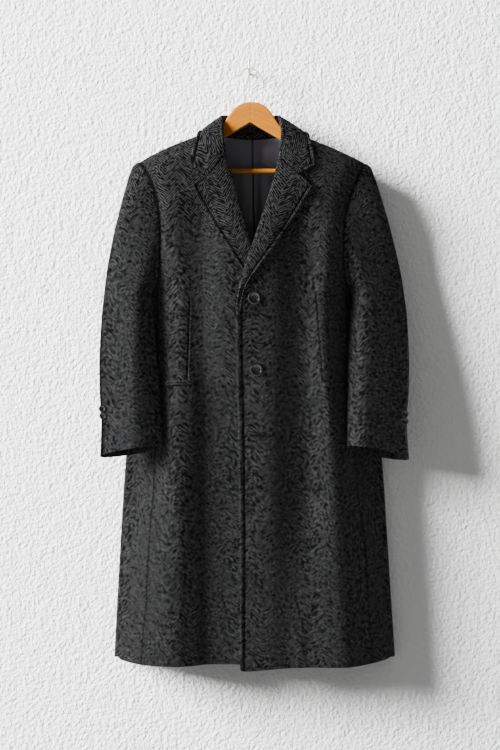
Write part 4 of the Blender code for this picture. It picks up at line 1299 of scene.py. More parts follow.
@dataclass
class ClothPiece:
    """One cut piece of cloth as a thin closed wall with rounded edges."""

    name: str
    grid: Array
    outward: Array | Sequence[float]
    weave: Array
    thickness: float = 2.5
    relief: Array | None = None
    groove_shade: Array | None = None
    sewn: tuple[str, ...] = ()
    rounding: Floats = (0.34, 0.76)
    # Painted shade on the lines next to each sewn edge, outermost first.
    seam_shade: Floats = (1.0, 0.9, 0.35)

    def wall(self) -> Mesh:
        """The piece as a wall.

        Returns:
            Its mesh, with its weave coordinates and the painted shade of its seams and stitch grooves.
        """
        rows, columns = self.grid.shape[:2]
        normal = unit(np.cross(np.gradient(self.grid, axis=1), np.gradient(self.grid, axis=0)))
        turned = float((normal * self.outward).sum(axis=2).mean()) < 0
        if turned:
            normal = -normal
        full = np.ones((rows, columns))
        for i, share in enumerate(self.rounding):
            for edge in (full[i], full[-1 - i], full[:, i], full[:, -1 - i]):
                np.minimum(edge, share, out=edge)
        half = full[..., None] * self.thickness / 2 * METRES * normal
        extra = 0.0 if self.relief is None else (self.relief * METRES)[..., None] * normal
        vertices = np.stack([self.grid + half + extra, self.grid - half]).reshape(-1, 3)
        count = rows * columns
        index = np.arange(count).reshape(rows, columns)
        ring = np.concatenate([index[0], index[1:, -1], index[-1, -2::-1], index[-2::-1, 0]])
        faces = [*grid_faces(index, not turned), *grid_faces(index + count, turned),
                 *grid_faces(np.stack([ring, ring + count]), not turned)]
        mesh = bpy.data.meshes.new(self.name)
        mesh.from_pydata(vertices.tolist(), [], faces)
        corners = np.empty(len(mesh.loops), np.int32)
        mesh.loops.foreach_get("vertex_index", corners)
        weave = self.weave.reshape(-1, 2)[corners % count]
        mesh.uv_layers.new(name="Weave").data.foreach_set("uv", weave.astype(np.float32).ravel())
        # Painted shade in stitch grooves and along each sewn edge, where the seam's crease lies in shade.
        groove_shade = np.zeros((2, rows, columns), np.float32)
        if self.groove_shade is not None:
            groove_shade[0] = self.groove_shade
        for i, dark in enumerate(self.seam_shade):
            edges = {"left": groove_shade[:, :, i], "right": groove_shade[:, :, -1 - i],
                     "first": groove_shade[:, i], "last": groove_shade[:, -1 - i]}
            for word in self.sewn:
                np.maximum(edges[word], dark, out=edges[word])
        add_groove_shade(mesh, groove_shade)
        mesh.shade_smooth()
        return mesh

    def area(self) -> float:
        """Area of the middle surface, in square metres."""
        a, b = self.grid[1:, 1:] - self.grid[:-1, :-1], self.grid[1:, :-1] - self.grid[:-1, 1:]
        return float(np.linalg.norm(np.cross(a, b), axis=2).sum() / 2)

    def add(self, material: Material, slot: Slot, node: str, held: Hold, *rests_on: str) -> None:
        """Adds the piece, and hides the node that it stands for.

        Args:
            material: Its finish.
            slot: The slot that the finish belongs to; not used.
            node: The node that it stands for.
            held: How it is held; not used.
            rests_on: What it hangs from or lies on; not used.
        """
        piece = add_piece(self.name, self.wall(), material, [node])
        area = self.area()


@dataclass
class Maker:
    """What a sub-assembly is worked out from and finished with."""

    form: CoatForm
    finishes: Finishes

    def sew(self, piece: ClothPiece, node: str, held: Hold, *rests_on: str) -> None:
        """Adds a piece of the coating."""
        piece.add(self.finishes.wool, Slot.WOOL, node, held, *rests_on)


def band_relief(way: Array, height: float = 1.7, depth: float = 1.7) -> Array:
    """Relief of a puffed edge and the stitched groove inside it, at shares of the band's width."""
    puff = np.sin(math.pi * np.clip(way / 0.92, 0, 1) ** 0.75)
    return height * puff - depth * hump((way - 1) / 0.17)


def swelled_rim(before: int, way: Array, band_share: float, corner: float, end: float,
                strength: float) -> tuple[Array, Array]:
    """The swelled band along a folded piece's outer edge and across its end, for one row.

    Args:
        before: Points of the row before its flat part.
        way: The flat part's points, as shares of its width.
        band_share: The band's width, as a share of the same.
        corner: Where the notch's corner is, as such a share.
        end: How far the row is from the piece's end, in bands.
        strength: How strong the painted shade in the edge's stitch groove is so close to the end.

    Returns:
        Relief in millimetres and the painted shade in the stitch grooves.
    """
    from_edge = np.concatenate([np.full(before, 9.0), (1 - way) / band_share])
    past = np.concatenate([np.zeros(before), ease((way - corner) / 0.06)])
    near_edge, near_end = band_relief(from_edge), band_relief(np.full(len(from_edge), end)) * past
    relief = np.where(from_edge < end, near_edge, np.maximum(near_end, near_edge * (end > 1)))
    stitch_shade = [hump((place - 1) / 0.15) for place in (from_edge, end)]
    across = stitch_shade[1] * past * ease((from_edge - 0.8) / 0.2)
    return relief, np.maximum(stitch_shade[0] * strength, across)


# Body of the coat


@dataclass
class Body(Maker):
    """Fronts, side bodies and backs."""

    spacing: float = 4.5
    hem_lines: Floats = (*RIM, 4.2, 5.4, 6.2, 7.0, 7.8, 8.6, 10.0, 12.5)
    band_top: float = 13.0
    band_bottom: float = 9.4
    lapel_angles: Floats = (150, 137, 124, 111, 98, 84, 70)
    neck_angles: Floats = (58, 47, 37, 27, 18, 10, 5, 2, 0)
    back_arm_drop: float = 455.0
    back_rows = ((0.25, 228), (0.5, 248), (0.72, 268), (0.88, 286), (1.0, 300))
    back_neck_angles = (308, 316, 324, 332, 339, 345, 350, 354, 358, 360)
    edge_top: Pair = (470.0, 26.0)
    edge_puff: Pair = (2.4, 1.9)
    corner_height: float = 15.0
    hem_line: float = 7.0
    hem_puff: float = 3.5
    dart_lines: Floats = (0.6, 1.2, 2.0, 3.0, 4.2, 6.0)
    dart_top_fade: float = 26.0
    stitch_fade: float = 5.0
    darts = both(((-120.7, 460.8), (-126.4, 641.7)), ((135.4, 450.6), (149.7, 645.8)))
    hem_stitches = both((-78.0, -20.0), (-9.0, 98.0))
    weave_origin = both(-96.8, 51.4)

    def up_the_neck(self, side: Side, inner: list[Array], outer: list[Array], neck: Array,
                    angles: Sequence[float], last: float) -> tuple[Array, Array, Array]:
        """A panel's rows, with those added that lead over to the neck seam and those along it.

        Args:
            side: Which panel.
            inner: The rows' inner ends so far.
            outer: The rows' outer ends so far.
            neck: The inner ends along the neck.
            angles: The armhole's angles across from them.
            last: The armhole's angle across from the last row so far.

        Returns:
            All inner ends, all outer ends and how far up the neck each row is.
        """
        stations = np.arange(len(neck), dtype=float)
        top = stations[-1]
        steps = np.linspace(0, top - 1, 4 * (len(neck) - 3))
        at = np.concatenate([steps, top - np.array((0.65, 0.4, 0.2, 0.08, 0.0))])
        points = np.stack([np.interp(at, stations, neck[:, i]) for i in (0, 1)], axis=1)
        bridge = np.linspace(0, 1, 5)[1:-1]
        inner = [*inner, inner[-1][-1] * (1 - bridge[:, None]) + points[0] * bridge[:, None], points]
        turned = (last + (angles[0] - last) * bridge, smooth(stations, angles, at))
        outer = [*outer, *(self.form.body_armhole(side, angle) for angle in turned)]
        ridge = np.zeros(sum(map(len, inner)))
        ridge[-len(at):] = at / top
        return np.concatenate(inner), np.concatenate(outer), ridge

    def front_rows(self, side: Side) -> tuple[Array, Array, Array, Array, Array]:
        """Where a front's rows start and end, from the hem up.

        Args:
            side: Which front.

        Returns:
            Inner ends, outer ends, shares of the hem's curve, shares of the shoulder's curve and
            heights above the hem.
        """
        form = self.form
        seam_rows = form.side_front_seam[side]
        seam_top = float(form.body_armhole(side, form.front_angle)[1])
        lapel_end = form.lapels[side]["roll_drop"][-1]
        hem_in = float(form.hem[side].read("drop", form.front_edge[side]["x"][-1]))
        hem_out = float(form.hem[side].read("drop", seam_rows["x"][-1]))
        share = ways(hem_in - lapel_end, self.spacing, self.hem_lines, (0.0,))
        drop_in = hem_in + (lapel_end - hem_in) * share
        drop_out = hem_out + (seam_top - hem_out) * share
        inner = [np.stack([form.front_edge[side].read("x", drop_in), drop_in], axis=1)]
        outer_x = form.side_seam(seam_rows, side, drop_out) - side * form.seam
        outer = [np.stack([outer_x, drop_out], axis=1)]
        up = np.linspace(0, 1, 58)[1:]
        roll, _, across = form.lapel_row(side, 1 - up)
        inner.append(roll + across * (form.roll_radius + form.roll_gap))
        last = len(self.lapel_angles) - 1
        outer.append(form.body_armhole(side, smooth(range(last + 1), self.lapel_angles, up * last)))
        points = form.neck_seam.points()[:, :2]
        neck = spline(points[:4] if side is Side.RIGHT else points[:8:-1], 3)[1:]
        neck = neck + np.array([side, 1.0]) * form.neck_gap
        inner, outer, ridge = self.up_the_neck(
            side, inner, outer, neck, self.neck_angles, self.lapel_angles[-1]
        )
        hem_share, above = np.zeros(len(ridge)), np.full(len(ridge), 1e3)
        hem_share[: len(share)] = 1 - share
        above[: len(share)] = share * (hem_in - lapel_end)
        return inner, outer, hem_share, ridge, above

    def dart_x(self, side: Side, drop: Array) -> Array:
        """x of a front's dart."""
        (x0, d0), (x1, d1) = self.darts[side]
        return x0 + (x1 - x0) * np.clip((drop - d0) / (d1 - d0), -0.3, 1.3)

    def front(self, side: Side) -> None:
        """Adds one front, with its dart, hem and swelled edge.

        Args:
            side: Which front.
        """
        form = self.form
        a, b, hem_share, ridge, above = self.front_rows(side)
        length = np.abs(b[:, 0] - a[:, 0])
        band = smooth((471, 560, 1215), (10.0, self.band_top, self.band_bottom), a[:, 1])
        near = BAND[None, :] * band[:, None] / length[:, None]
        dart = np.abs(self.dart_x(side, a[:, 1]) - a[:, 0]) / length
        low, high = (dart[np.argmin(abs(a[:, 1] - drop))] for drop in (640, 480))
        dart = smooth((0.0, 0.32, 0.60, 1.0), (0.72, low, high, 0.70), np.linspace(0, 1, len(a)))
        steps = np.array(self.dart_lines) / 200.0
        fine = np.concatenate([-steps[::-1], [0.0], steps])
        rim = 1 - np.array(RIM)[::-1][1:][None, :] / length[:, None]
        left = near[:, -1:] + (dart[:, None] + fine[0] - near[:, -1:]) * np.linspace(0, 1, 30)[None, 1:-1]
        right = dart[:, None] + fine[-1]
        right = right + (rim[:, :1] - dart[:, None] - fine[-1]) * np.linspace(0, 1, 15)[None, 1:-1]
        across = np.concatenate([near, left, dart[:, None] + fine[None, :], right, rim], axis=1)
        x = a[:, :1] + (b[:, :1] - a[:, :1]) * across
        drop = a[:, 1:] + (b[:, 1:] - a[:, 1:]) * across
        hem = form.hem[side].read("drop", x)
        drop = drop + (hem - hem[:, :1] - (hem[:, -1:] - hem[:, :1]) * across) * hem_share[:, None]
        if side is Side.LEFT:
            corner = np.clip(1 - (x - a[:, :1]) / form.corner_radius, 0, 1)
            low = np.clip(1 - above / self.corner_height, 0, 1)[:, None]
            drop = drop - form.corner_radius * (1 - np.sqrt(1 - corner**2)) * low
        drop = np.where(ridge[:, None] > 0, form.along_ridge(x, drop, ridge), drop)
        reach = form.lapped_reach(side, x, drop)
        reach[-1] = form.shoulder.read("reach", x[-1]) + form.seam
        grid = place(x, drop, reach)
        # Relief, and painted shade in the swelled edge's stitch groove, the hem's stitch line and the
        # dart's seam.
        relief, groove_shade = np.zeros_like(x), np.zeros_like(x)
        if side is Side.LEFT:
            way = np.abs(x - a[:, :1]) / band[:, None]
            shown = rise(a[:, 1:], *self.edge_top)
            relief += band_relief(way, *self.edge_puff) * shown
            groove_shade = hump((way - 1.0) / 0.16) * shown
        (low, high), fade = self.hem_stitches[side], self.stitch_fade
        run = ease((x - low) / fade) * ease((high - x) / fade)
        line = hump(above[:, None] - self.hem_line) * run
        relief -= 0.45 * line
        relief += 0.35 * hump((above[:, None] - self.hem_puff) / 2.6) * (0.35 + 0.65 * run)
        groove_shade = np.maximum(groove_shade, line)
        (_, top), (_, bottom) = self.darts[side]
        run = rise(drop, top, self.dart_top_fade) * ease((bottom + 4 - drop) / fade)
        off = x - self.dart_x(side, drop)
        relief += run * (1.5 * hump((off - 3.4) / 2.6) - 2.2 * hump(off / 1.6))
        groove_shade = np.maximum(groove_shade, run * hump(off / 1.7))
        weave = hanging_weave(partial(form.lapped_reach, side), self.weave_origin[side], x, drop)
        piece = ClothPiece(f"coat_front_{side.word}", grid, FORWARD, weave, relief=relief, groove_shade=groove_shade,
                           sewn=("right", "last"))
        self.sew(piece, f"front_{side.word}", Hold.HUNG, f"hanger_arm_{side.word}")

    def side_body(self, side: Side) -> None:
        """Adds one side body, from under the arm to the hem.

        Args:
            side: Which side.
        """
        form, width = self.form, 250.0
        way = ways(width, self.spacing)[None, :]
        angle = form.front_angle + (form.back_angle - form.front_angle) * way
        _, top, top_reach = form.armhole(side, angle)
        ends = np.maximum(1 - way * width / 3.0, 1 - (1 - way) * width / 3.0).clip(0, 1)
        top_x = form.body_armhole(side, angle)[..., 0] + 2 * side * form.seam * ends
        section_x, section_reach = form.side_point(side, top, way)
        front_bottom = form.hem[side].read("drop", form.side_point(side, form.hem_drop_back, way)[0])
        edge_drop = float(form.hem[side].read("drop", form.sides[side]["x"][-1]))
        round_share = (way - form.flank_end) / (form.round_end - form.flank_end)
        round_bottom = edge_drop + (form.hem_drop_back - edge_drop) * ease(round_share)
        bottom = np.where(way <= form.flank_end, front_bottom, round_bottom)
        share = ways(770.0, self.spacing, self.hem_lines)[::-1, None]
        drop = bottom + (top - bottom) * share
        x, reach = form.side_point(side, drop, way)
        near = 1 - ease((drop - top) / form.tuck_drop)
        grid = place(x + (top_x - section_x) * near, drop, reach + (top_reach - section_reach) * near)
        weave = arc_weave(grid)
        weave[..., 1] = grid[..., 2]
        outward = grid * LEVEL - np.array([side * 0.17, -0.045, 0.0])
        sewn = ("left", "right", "first")
        piece = ClothPiece(f"coat_side_{side.word}", grid, outward, weave, sewn=sewn)
        self.sew(piece, f"side_{side.word}", Hold.HUNG, f"coat_front_{side.word}")

    def back_half(self, side: Side) -> None:
        """Adds one half of the back.

        Args:
            side: Which half.
        """
        form = self.form
        base, arm, centre = form.hem_drop_back, self.back_arm_drop, form.centre_back_x
        seam_top = float(form.body_armhole(side, form.back_angle)[1])
        points = form.neck_seam.points()[:, :2]
        neck = spline(points[6:2:-1] if side is Side.RIGHT else points[6:10], 4)
        neck_drop = neck[0][1] + form.neck_gap
        share = ways(base - seam_top, self.spacing, self.hem_lines, (0.0,))
        low = base + (seam_top - base) * share
        up = np.linspace(0, 1, 72)[1:]
        inner = [np.stack([np.full_like(drop, centre), drop], axis=1)
                 for drop in (base + (arm - base) * share, arm + (neck_drop - arm) * up)]
        seam_x = form.side_seam(form.side_back_seam[side], side, low) - side * form.seam
        shares, angles = zip((0.0, form.back_angle), *self.back_rows)
        outer = [np.stack([seam_x, low], axis=1),
                 form.body_armhole(side, smooth(shares, angles, up))]
        shown = neck[-len(self.back_neck_angles):] + np.array([0.0, form.neck_gap])
        last = self.back_rows[-1][1]
        a, b, ridge = self.up_the_neck(side, inner, outer, shown, self.back_neck_angles, last)
        across = ways(220.0, self.spacing)[None, :]
        start = a[:, :1] + side * form.seam
        x = start + (b[:, :1] - start) * across
        drop = a[:, 1:] + (b[:, 1:] - a[:, 1:]) * across
        drop = np.where(ridge[:, None] > 0, form.along_ridge(x, drop, ridge), drop)
        reach = form.back_reach(x, drop)
        reach[-1] = form.shoulder.read("reach", x[-1]) - form.seam
        weave = hanging_weave(form.back_reach, centre, x, drop)
        piece = ClothPiece(f"coat_back_{side.word}", place(x, drop, reach), -FORWARD, weave,
                           sewn=("left", "right", "last"))
        self.sew(piece, f"back_{side.word}", Hold.HUNG, f"hanger_arm_{side.word}")

    def build(self) -> None:
        """Adds the fronts, side bodies and backs."""
        for side in Side:
            self.front(side)
            self.side_body(side)
            self.back_half(side)


@dataclass
class Sleeves(Maker):
    """Two-piece sleeves."""

    upper_columns: float = 170.0
    under_columns: float = 150.0
    stay_radius: float = 0.95
    stays = {"front": (2.0, 172.0), "back": (212.0, 348.0)}
    spacing: float = 4.5
    head_lines: Floats = (*RIM, 4.2, 6.0, 8.0, 10.5, 13.5, 17.0, 21.0)
    cuff_lines: Floats = (*RIM, 4.5, 7.0)
    length: float = 590.0
    weave_shift = both(0.0, 24.5)

    def panel(self, side: Side, word: str, first: float, last: float, width: float) -> None:
        """Adds one piece of a sleeve.

        Args:
            side: Which sleeve.
            word: upper or under.
            first: Angle round the arm where it starts.
            last: Angle where it ends.
            width: Its rough width.
        """
        form = self.form
        start, end = first + form.sleeve_half_gap, last - form.sleeve_half_gap
        angle = start + (end - start) * ways(width, self.spacing)[None, :]
        share = ways(self.length, self.spacing, self.head_lines, self.cuff_lines)[:, None]
        x, drop, reach = form.sleeve_point(side, angle, share)
        grid = place(x, drop, reach)
        outward = np.array([side * 0.5, -0.8, 0.1]) * (1 if word == "upper" else -1)
        weave = sleeve_weave(form, side, self.weave_shift[side], angle, drop)
        name = f"sleeve_{word}_{side.word}"
        piece = ClothPiece(f"coat_{name}", grid, outward, weave, sewn=("left", "right", "first"))
        self.sew(piece, name, Hold.HUNG, f"coat_front_{side.word}")

    def seam_stay(self, side: Side, word: str, first: float, last: float) -> None:
        """Adds the narrow stay sewn into part of an armhole's seam, which closes it against light and is
        painted fully in shade.

        Args:
            side: The wearer's side.
            word: Which part of the seam.
            first: Angle round the arm where it starts.
            last: Angle where it ends.
        """
        name = f"coat_armhole_stay_{word}_{side.word}"
        points = place(*self.form.armhole(side, np.linspace(first, last, 91)))
        mesh = tube_mesh(name, points, self.stay_radius * METRES, 8, dark=1.0)
        add_piece(name, mesh, self.finishes.wool)

    def build(self) -> None:
        """Adds both sleeves and the stays in their armholes."""
        front, back = self.form.sleeve_front_seam, self.form.sleeve_back_seam
        for side in Side:
            for word, ends in self.stays.items():
                self.seam_stay(side, word, *ends)
            self.panel(side, "upper", back - 360, front, self.upper_columns)
            self.panel(side, "under", front, back, self.under_columns)


def corner_share(start: Array, corner: Array, end: Array) -> float:
    """How far along a bent line its corner is."""
    first, second = np.linalg.norm(corner - start), np.linalg.norm(end - corner)
    return float(first / (first + second))


def bend(across: Array, share: float, start: Array, corner: Array, end: Array) -> Array:
    """Way from the straight line between two points to the line bent at a corner.

    Args:
        across: Places along the line, as shares.
        share: The share where its corner is.
        start: The line's start.
        corner: Its corner.
        end: Its end.

    Returns:
        The ways, one for each place.
    """
    straight = start + (end - start) * share
    strength = np.where(across < share, across / share, (1 - across) / (1 - share))
    return strength[:, None] * (corner - straight)[None, :]


@dataclass
class Lapels(Maker):
    """Notch lapels, turned back from the roll line."""

    lift = both(6.2, 8.0)
    low_lift: float = 3.4
    bulge: float = 3.0
    edge_band: float = 8.0
    narrow_band: float = 0.85
    notch_share: float = 0.3
    length: float = 300.0
    end_radius: float = 1.25
    end_lift: float = 0.9
    flattens: Pair = (425.0, 72.0)
    tail: tuple[Floats, ...] = (
        (5, -18.5, 447, -6.5, 449), (6, -23.4, 472, -13.4, 473), (7, -27.0, 497, -17.6, 498),
    )

    def row(self, side: Side, share: float) -> tuple[Array, Array, Array, float, float]:
        """A lapel's row; the left one runs on down, flattening into the front edge.

        Args:
            side: Which lapel.
            share: Share of its length.

        Returns:
            Roll point, outer edge point, way across, the frame's own share and how far it is raised.
        """
        if side is Side.RIGHT:
            return *self.form.lapel_row(side, share), share, 1.0
        own = self.form.lapels[side]
        rows = Rows(" ".join(own.names), *own.points()[:5], *self.tail)
        at = share * rows["station"][-1]
        roll, edge = rows.spot("roll", at), rows.spot("edge", at)
        raised = 1 - float(rise(roll[1], *self.flattens))
        return roll, edge, unit(edge - roll), min(at / own["station"][-1], 1.0), raised

    def lapel(self, side: Side) -> None:
        """Adds one lapel.

        Args:
            side: Which lapel.
        """
        form = self.form
        gorge = np.array([0.0, form.gorge_gap])
        notch = np.array(form.notch[side]) + gorge
        points, rims = [], []
        turned, inside = np.linspace(0, math.pi, 11)[:-1], np.linspace(0, 1, 26)[:-1]
        for own in ways(self.length, 4.0, SWELLED_RIM):
            roll, edge, across, share, raised = self.row(side, float(own))
            radius = self.end_radius + (form.roll_radius - self.end_radius) * raised
            start = roll + across * radius
            width = np.linalg.norm(edge - start)
            band_share = 1 - max(1 - self.edge_band / width, self.narrow_band * (1 - 0.3 * share))
            way = np.concatenate([inside * (1 - BAND[-1] * band_share), 1 - BAND_INWARDS * band_share])
            fade = (1 - min(share / self.notch_share, 1.0)) ** 2
            corner = corner_share(start, notch, edge)
            flat = start + (edge - start) * way[:, None]
            flat = flat + (bend(way, corner, start, notch, edge) + gorge) * fade
            high = self.low_lift + (self.lift[side] - self.low_lift) * float(ease((1 - share) / 0.35))
            lift = high + (2 * radius - high) * (1 - way) ** 1.5
            lift = lift + self.bulge * np.sin(math.pi * way**0.6) * (1 - share)
            reach = form.lapped_reach(side, flat[:, 0], flat[:, 1])
            reach = reach + lift * raised + self.end_lift * (1 - raised)
            base = float(form.lapped_reach(side, start[0], start[1]))
            rolled = start[None, :] - across[None, :] * radius * np.sin(turned)[:, None] + gorge * fade
            reaches = np.concatenate([base + radius * (1 - np.cos(turned)), reach])
            points.append(place(*np.vstack([rolled, flat]).T, reaches))
            down = float(own) * self.length
            rims.append(swelled_rim(len(turned), way, band_share, corner, down / self.edge_band,
                                    float(ease((down - 5) / 4))))
        grid = np.array(points)
        # Relief of the swelled edges, and painted shade in their stitch grooves.
        relief, groove_shade = np.array(rims).transpose(1, 0, 2)
        weave = strip_weave(grid, len(turned), 0, True)
        piece = ClothPiece(f"coat_lapel_{side.word}", grid, FORWARD, weave, relief=relief, groove_shade=groove_shade)
        self.sew(piece, f"lapel_{side.word}", Hold.FOLDED, f"coat_front_{side.word}")

    def build(self) -> None:
        """Adds both lapels."""
        for side in Side:
            self.lapel(side)


@dataclass
class Collar(Maker):
    """The collar: its stand inside, the fold and the fall outside."""

    between: int = 9
    lift: float = 6.0
    bulge_on_front: float = 3.0
    bulge: float = 1.8
    edge_band: float = 8.0
    notch_stations: float = 2.2
    on_front: Pair = (1.0, 2.6)
    core = np.array([0.004, -0.045, 0.0])
    fold = Rows(
        "x drop reach",
        (-49.5, 181, 79.5), (-51.5, 152, 74), (-53.8, 126.4, 65), (-55, 106, 54), (-54.2, 95.2, 42),
        (-38, 93.5, 28), (4, 94.5, 19), (45, 93.5, 28), (58.7, 95.2, 42), (62.5, 106, 54),
        (66, 126.4, 65), (64.5, 155, 74), (61, 186, 80),
    )
    edge = Rows(
        "x drop reach",
        (-124.5, 197.3, 82), (-115.5, 165, 74), (-109.5, 144, 63), (-105.5, 130.7, 50), (-98, 129.5, 24),
        (-66, 145.5, 8), (4, 152, 7.6), (74, 146.5, 8), (110, 131.5, 24), (121.2, 133.6, 50),
        (126, 147, 63), (131, 168, 75), (136.2, 201.2, 83),
    )

    def build(self) -> None:
        """Adds the collar."""
        form, radius, neck = self.form, self.form.roll_radius, self.form.neck_seam
        seam_reach = np.where(neck["behind"] > 0, form.back_reach(neck["x"], neck["drop"]),
                              form.front_reach(neck["x"], neck["drop"]))
        seam = spline(np.stack([neck["x"], neck["drop"], seam_reach], axis=1), self.between)
        fold, edge = spline(self.fold.points(), self.between), spline(self.edge.points(), self.between)
        run = np.concatenate([[0], np.cumsum(np.linalg.norm(np.diff(fold, axis=0), axis=1))])
        wanted = ways(run[-1], 4.0, SWELLED_RIM, SWELLED_RIM) * run[-1]
        rows, rims = [], []
        last, along = len(fold) - 1, np.gradient(fold, axis=0)

        def at(curve: Array, index: float) -> Array:
            """A curve read between its points."""
            low = min(int(index), last - 1)
            return curve[low] + (curve[low + 1] - curve[low]) * (index - low)

        stand = np.array((0.0, 0.02, 0.06, 0.15, 0.3, 0.45, 0.6, 0.75, 0.9))
        turns = np.linspace(0, math.pi, 13)
        for index, here in zip(np.interp(wanted, run, np.arange(len(run))), wanted):
            n, k = at(seam, index) - np.array([0, form.seam, 0]), at(fold, index)
            e, t = at(edge, index), unit(at(along, index))
            top = -unit(unit(n - k) + unit(e - k))
            top = unit(top - t * top.dot(t))
            inward = np.cross(t, top)
            inward = inward * np.sign(inward.dot(n - e))
            centre = k - top * radius
            points = [n + (centre + inward * radius - n) * way for way in stand]
            points += [centre + inward * radius * math.cos(turn) + top * radius * math.sin(turn)
                       for turn in turns]
            start = points[-1]
            band_share = self.edge_band / np.linalg.norm(e - start)
            way = np.concatenate([np.linspace(0, 1, 20)[1:-1] * (1 - BAND[-1] * band_share),
                                  1 - BAND_INWARDS * band_share])
            bulge = inward * (self.bulge * np.sin(math.pi * way))[:, None]
            fall = start + (e - start) * way[:, None] - bulge
            side = Side.RIGHT if index < last / 2 else Side.LEFT
            station = min(index, last - index) / self.between
            fade = (1 - min(station / self.notch_stations, 1.0)) ** 2
            notch = np.array(form.notch[side]) - np.array([0.0, form.gorge_gap])
            corner = corner_share(start[:2], notch, e[:2])
            fall[:, :2] += bend(way, corner, start[:2], notch, e[:2]) * fade
            on_front = 1 - ease((station - self.on_front[0]) / (self.on_front[1] - self.on_front[0]))
            lift = self.lift + (2 * radius - self.lift) * (1 - way) ** 1.5
            lift = lift + self.bulge_on_front * np.sin(math.pi * way**0.55)
            laid = form.front_reach(fall[:, 0], fall[:, 1]) + lift
            fall[:, 2] += (laid - fall[:, 2]) * on_front
            rows.append(np.vstack([points, fall]))
            end = min(here, run[-1] - here) / self.edge_band
            fade = float(ease((end - 0.7) / 0.3))
            rims.append(swelled_rim(len(points), way, band_share, corner, end, fade))
        grid = place(*np.moveaxis(np.array(rows), 2, 0))
        # Relief of the swelled edges, and painted shade in their stitch grooves.
        relief, groove_shade = np.array(rims).transpose(1, 0, 2)
        weave = strip_weave(grid, len(stand) + len(turns) - 1, len(grid) // 2, False)
        outward = np.zeros(grid.shape)
        outward[:, -20:] = ((grid - self.core) * LEVEL)[:, -20:]
        piece = ClothPiece("coat_collar", grid, outward, weave, relief=relief, groove_shade=groove_shade)
        self.sew(piece, "collar", Hold.FOLDED, "coat_back_right", "coat_back_left")


@dataclass
class Pockets(Maker):
    """Two welted pockets, each with two narrow lips."""

    height: float = 12.0
    lift: float = 3.2
    thickness: float = 2.0
    slope: float = 0.03
    relief: float = 0.9
    ends = both((-119.0, -186.0, 645.0), (150.5, 202.0, 649.0))

    def welt(self, side: Side) -> None:
        """Adds one pocket's welt.

        Args:
            side: Which pocket.
        """
        form = self.form
        start, end, middle = self.ends[side]
        x = start + (end - start) * ways(abs(end - start), 3.0)[None, :]
        height = (ways(self.height, 0.8, NARROW_RIM, NARROW_RIM) - 0.5)[:, None]
        drop = middle + abs(x - start) * self.slope + height * self.height
        reach = form.front_reach(x, drop)
        lean = (form.front_reach(x + 1, drop) - form.front_reach(x - 1, drop)) / 2
        out = self.lift / np.sqrt(1 + lean**2)
        grid = place(x - lean * out, drop, reach + out)
        whole = np.ones_like(x)
        lips = np.sin(math.pi * np.clip(np.abs(height) * 2, 0, 1)) ** 0.7
        relief = self.relief * (lips - hump(height / 0.06)) * whole
        # Painted shade along both lips' outer lines and, fainter, in the slit between them.
        lip_shade = np.maximum(hump((height - 0.5) / 0.12), 0.6 * hump((height + 0.5) / 0.09))
        groove_shade = np.maximum(lip_shade, 0.35 * hump(height / 0.05)) * whole
        weave = np.stack([x * np.ones_like(height), -drop], axis=2) * METRES
        name = f"coat_pocket_{side.word}"
        piece = ClothPiece(name, grid, FORWARD, weave, self.thickness, relief, groove_shade)
        self.sew(piece, f"pocket_welt_{side.word}", Hold.LAID, f"coat_front_{side.word}")

    def build(self) -> None:
        """Adds both pockets."""
        for side in Side:
            self.welt(side)


@dataclass
class Lining(Maker):
    """Back lining with its centre pleat, and the hanging loop."""

    end: float = 560.0
    lift: float = 3.5
    pleat_x: float = 6.5
    pleat_slope: float = 0.02
    pleat_top: float = 140.0
    pleat_depth: float = 1.6
    soft_folds = ((13, 10, 1.3), (27, 9, -1.5), (43, 14, 1.2), (-36, 18, -1.2), (-8, 10, 0.8))
    thickness: float = 1.2
    loop_radius: float = 2.3
    top = Rows(
        "x drop",
        (-112, 153), (-72, 132.5), (-40, 137), (4, 140.5), (48, 137.5), (80, 134.5), (120, 157),
    )
    width = Rows("drop half", (130, 116), (200, 146), (300, 160), (560, 164))
    loop = (
        (-25.3, 130.2, 20.6), (-16, 126.4, 24.6), (-6, 124.0, 27.0), (4, 123.3, 27.8), (14, 123.9, 27.0),
        (25, 126.2, 24.4), (34.2, 129.8, 20.6),
    )

    def build(self) -> None:
        """Adds the lining and the loop."""
        form, finishes = self.form, self.finishes
        way = np.sort(np.concatenate([np.linspace(-1, 1, 90), np.linspace(0.008, 0.075, 30)]))[None, :]
        top = self.top.read("drop", form.centre_back_x + self.width["half"][0] * way)
        drop = top + (self.end - top) * ways(420.0, 5.0, (*NARROW_RIM, 2.0), NARROW_RIM)[:, None]
        x = form.centre_back_x + self.width.read("half", drop) * way
        soft = sum(height * hump((x - middle) / half) for middle, half, height in self.soft_folds)
        soft = soft * ease((drop - 125) / 60) * (0.45 + 0.55 * ease((420 - drop) / 200))
        off = x - self.pleat_x - self.pleat_slope * (drop - self.pleat_top)
        pleat = self.pleat_depth * hump(off / 1.2)
        grid = place(x, drop, form.back_reach(x, drop) + self.lift + soft - pleat)
        weave = arc_weave(grid, grid.shape[1] // 2)
        weave[..., 1] *= -1
        # Painted shade along the pleat's line.
        groove_shade, rests_on = hump(off / 1.1), ("coat_back_right", "coat_back_left")
        piece = ClothPiece("coat_lining_back", grid, FORWARD, weave, self.thickness, groove_shade=groove_shade)
        piece.add(finishes.lining, Slot.LINING, "lining_back", Hold.HUNG, *rests_on)
        points = place(*spline(np.array(self.loop), 6).T)
        mesh = tube_mesh("coat_hanging_loop", points, self.loop_radius * METRES, dark=0.0)
        add_piece("coat_hanging_loop", mesh, finishes.wool, ["hanging_loop"])


# Buttons and sewing


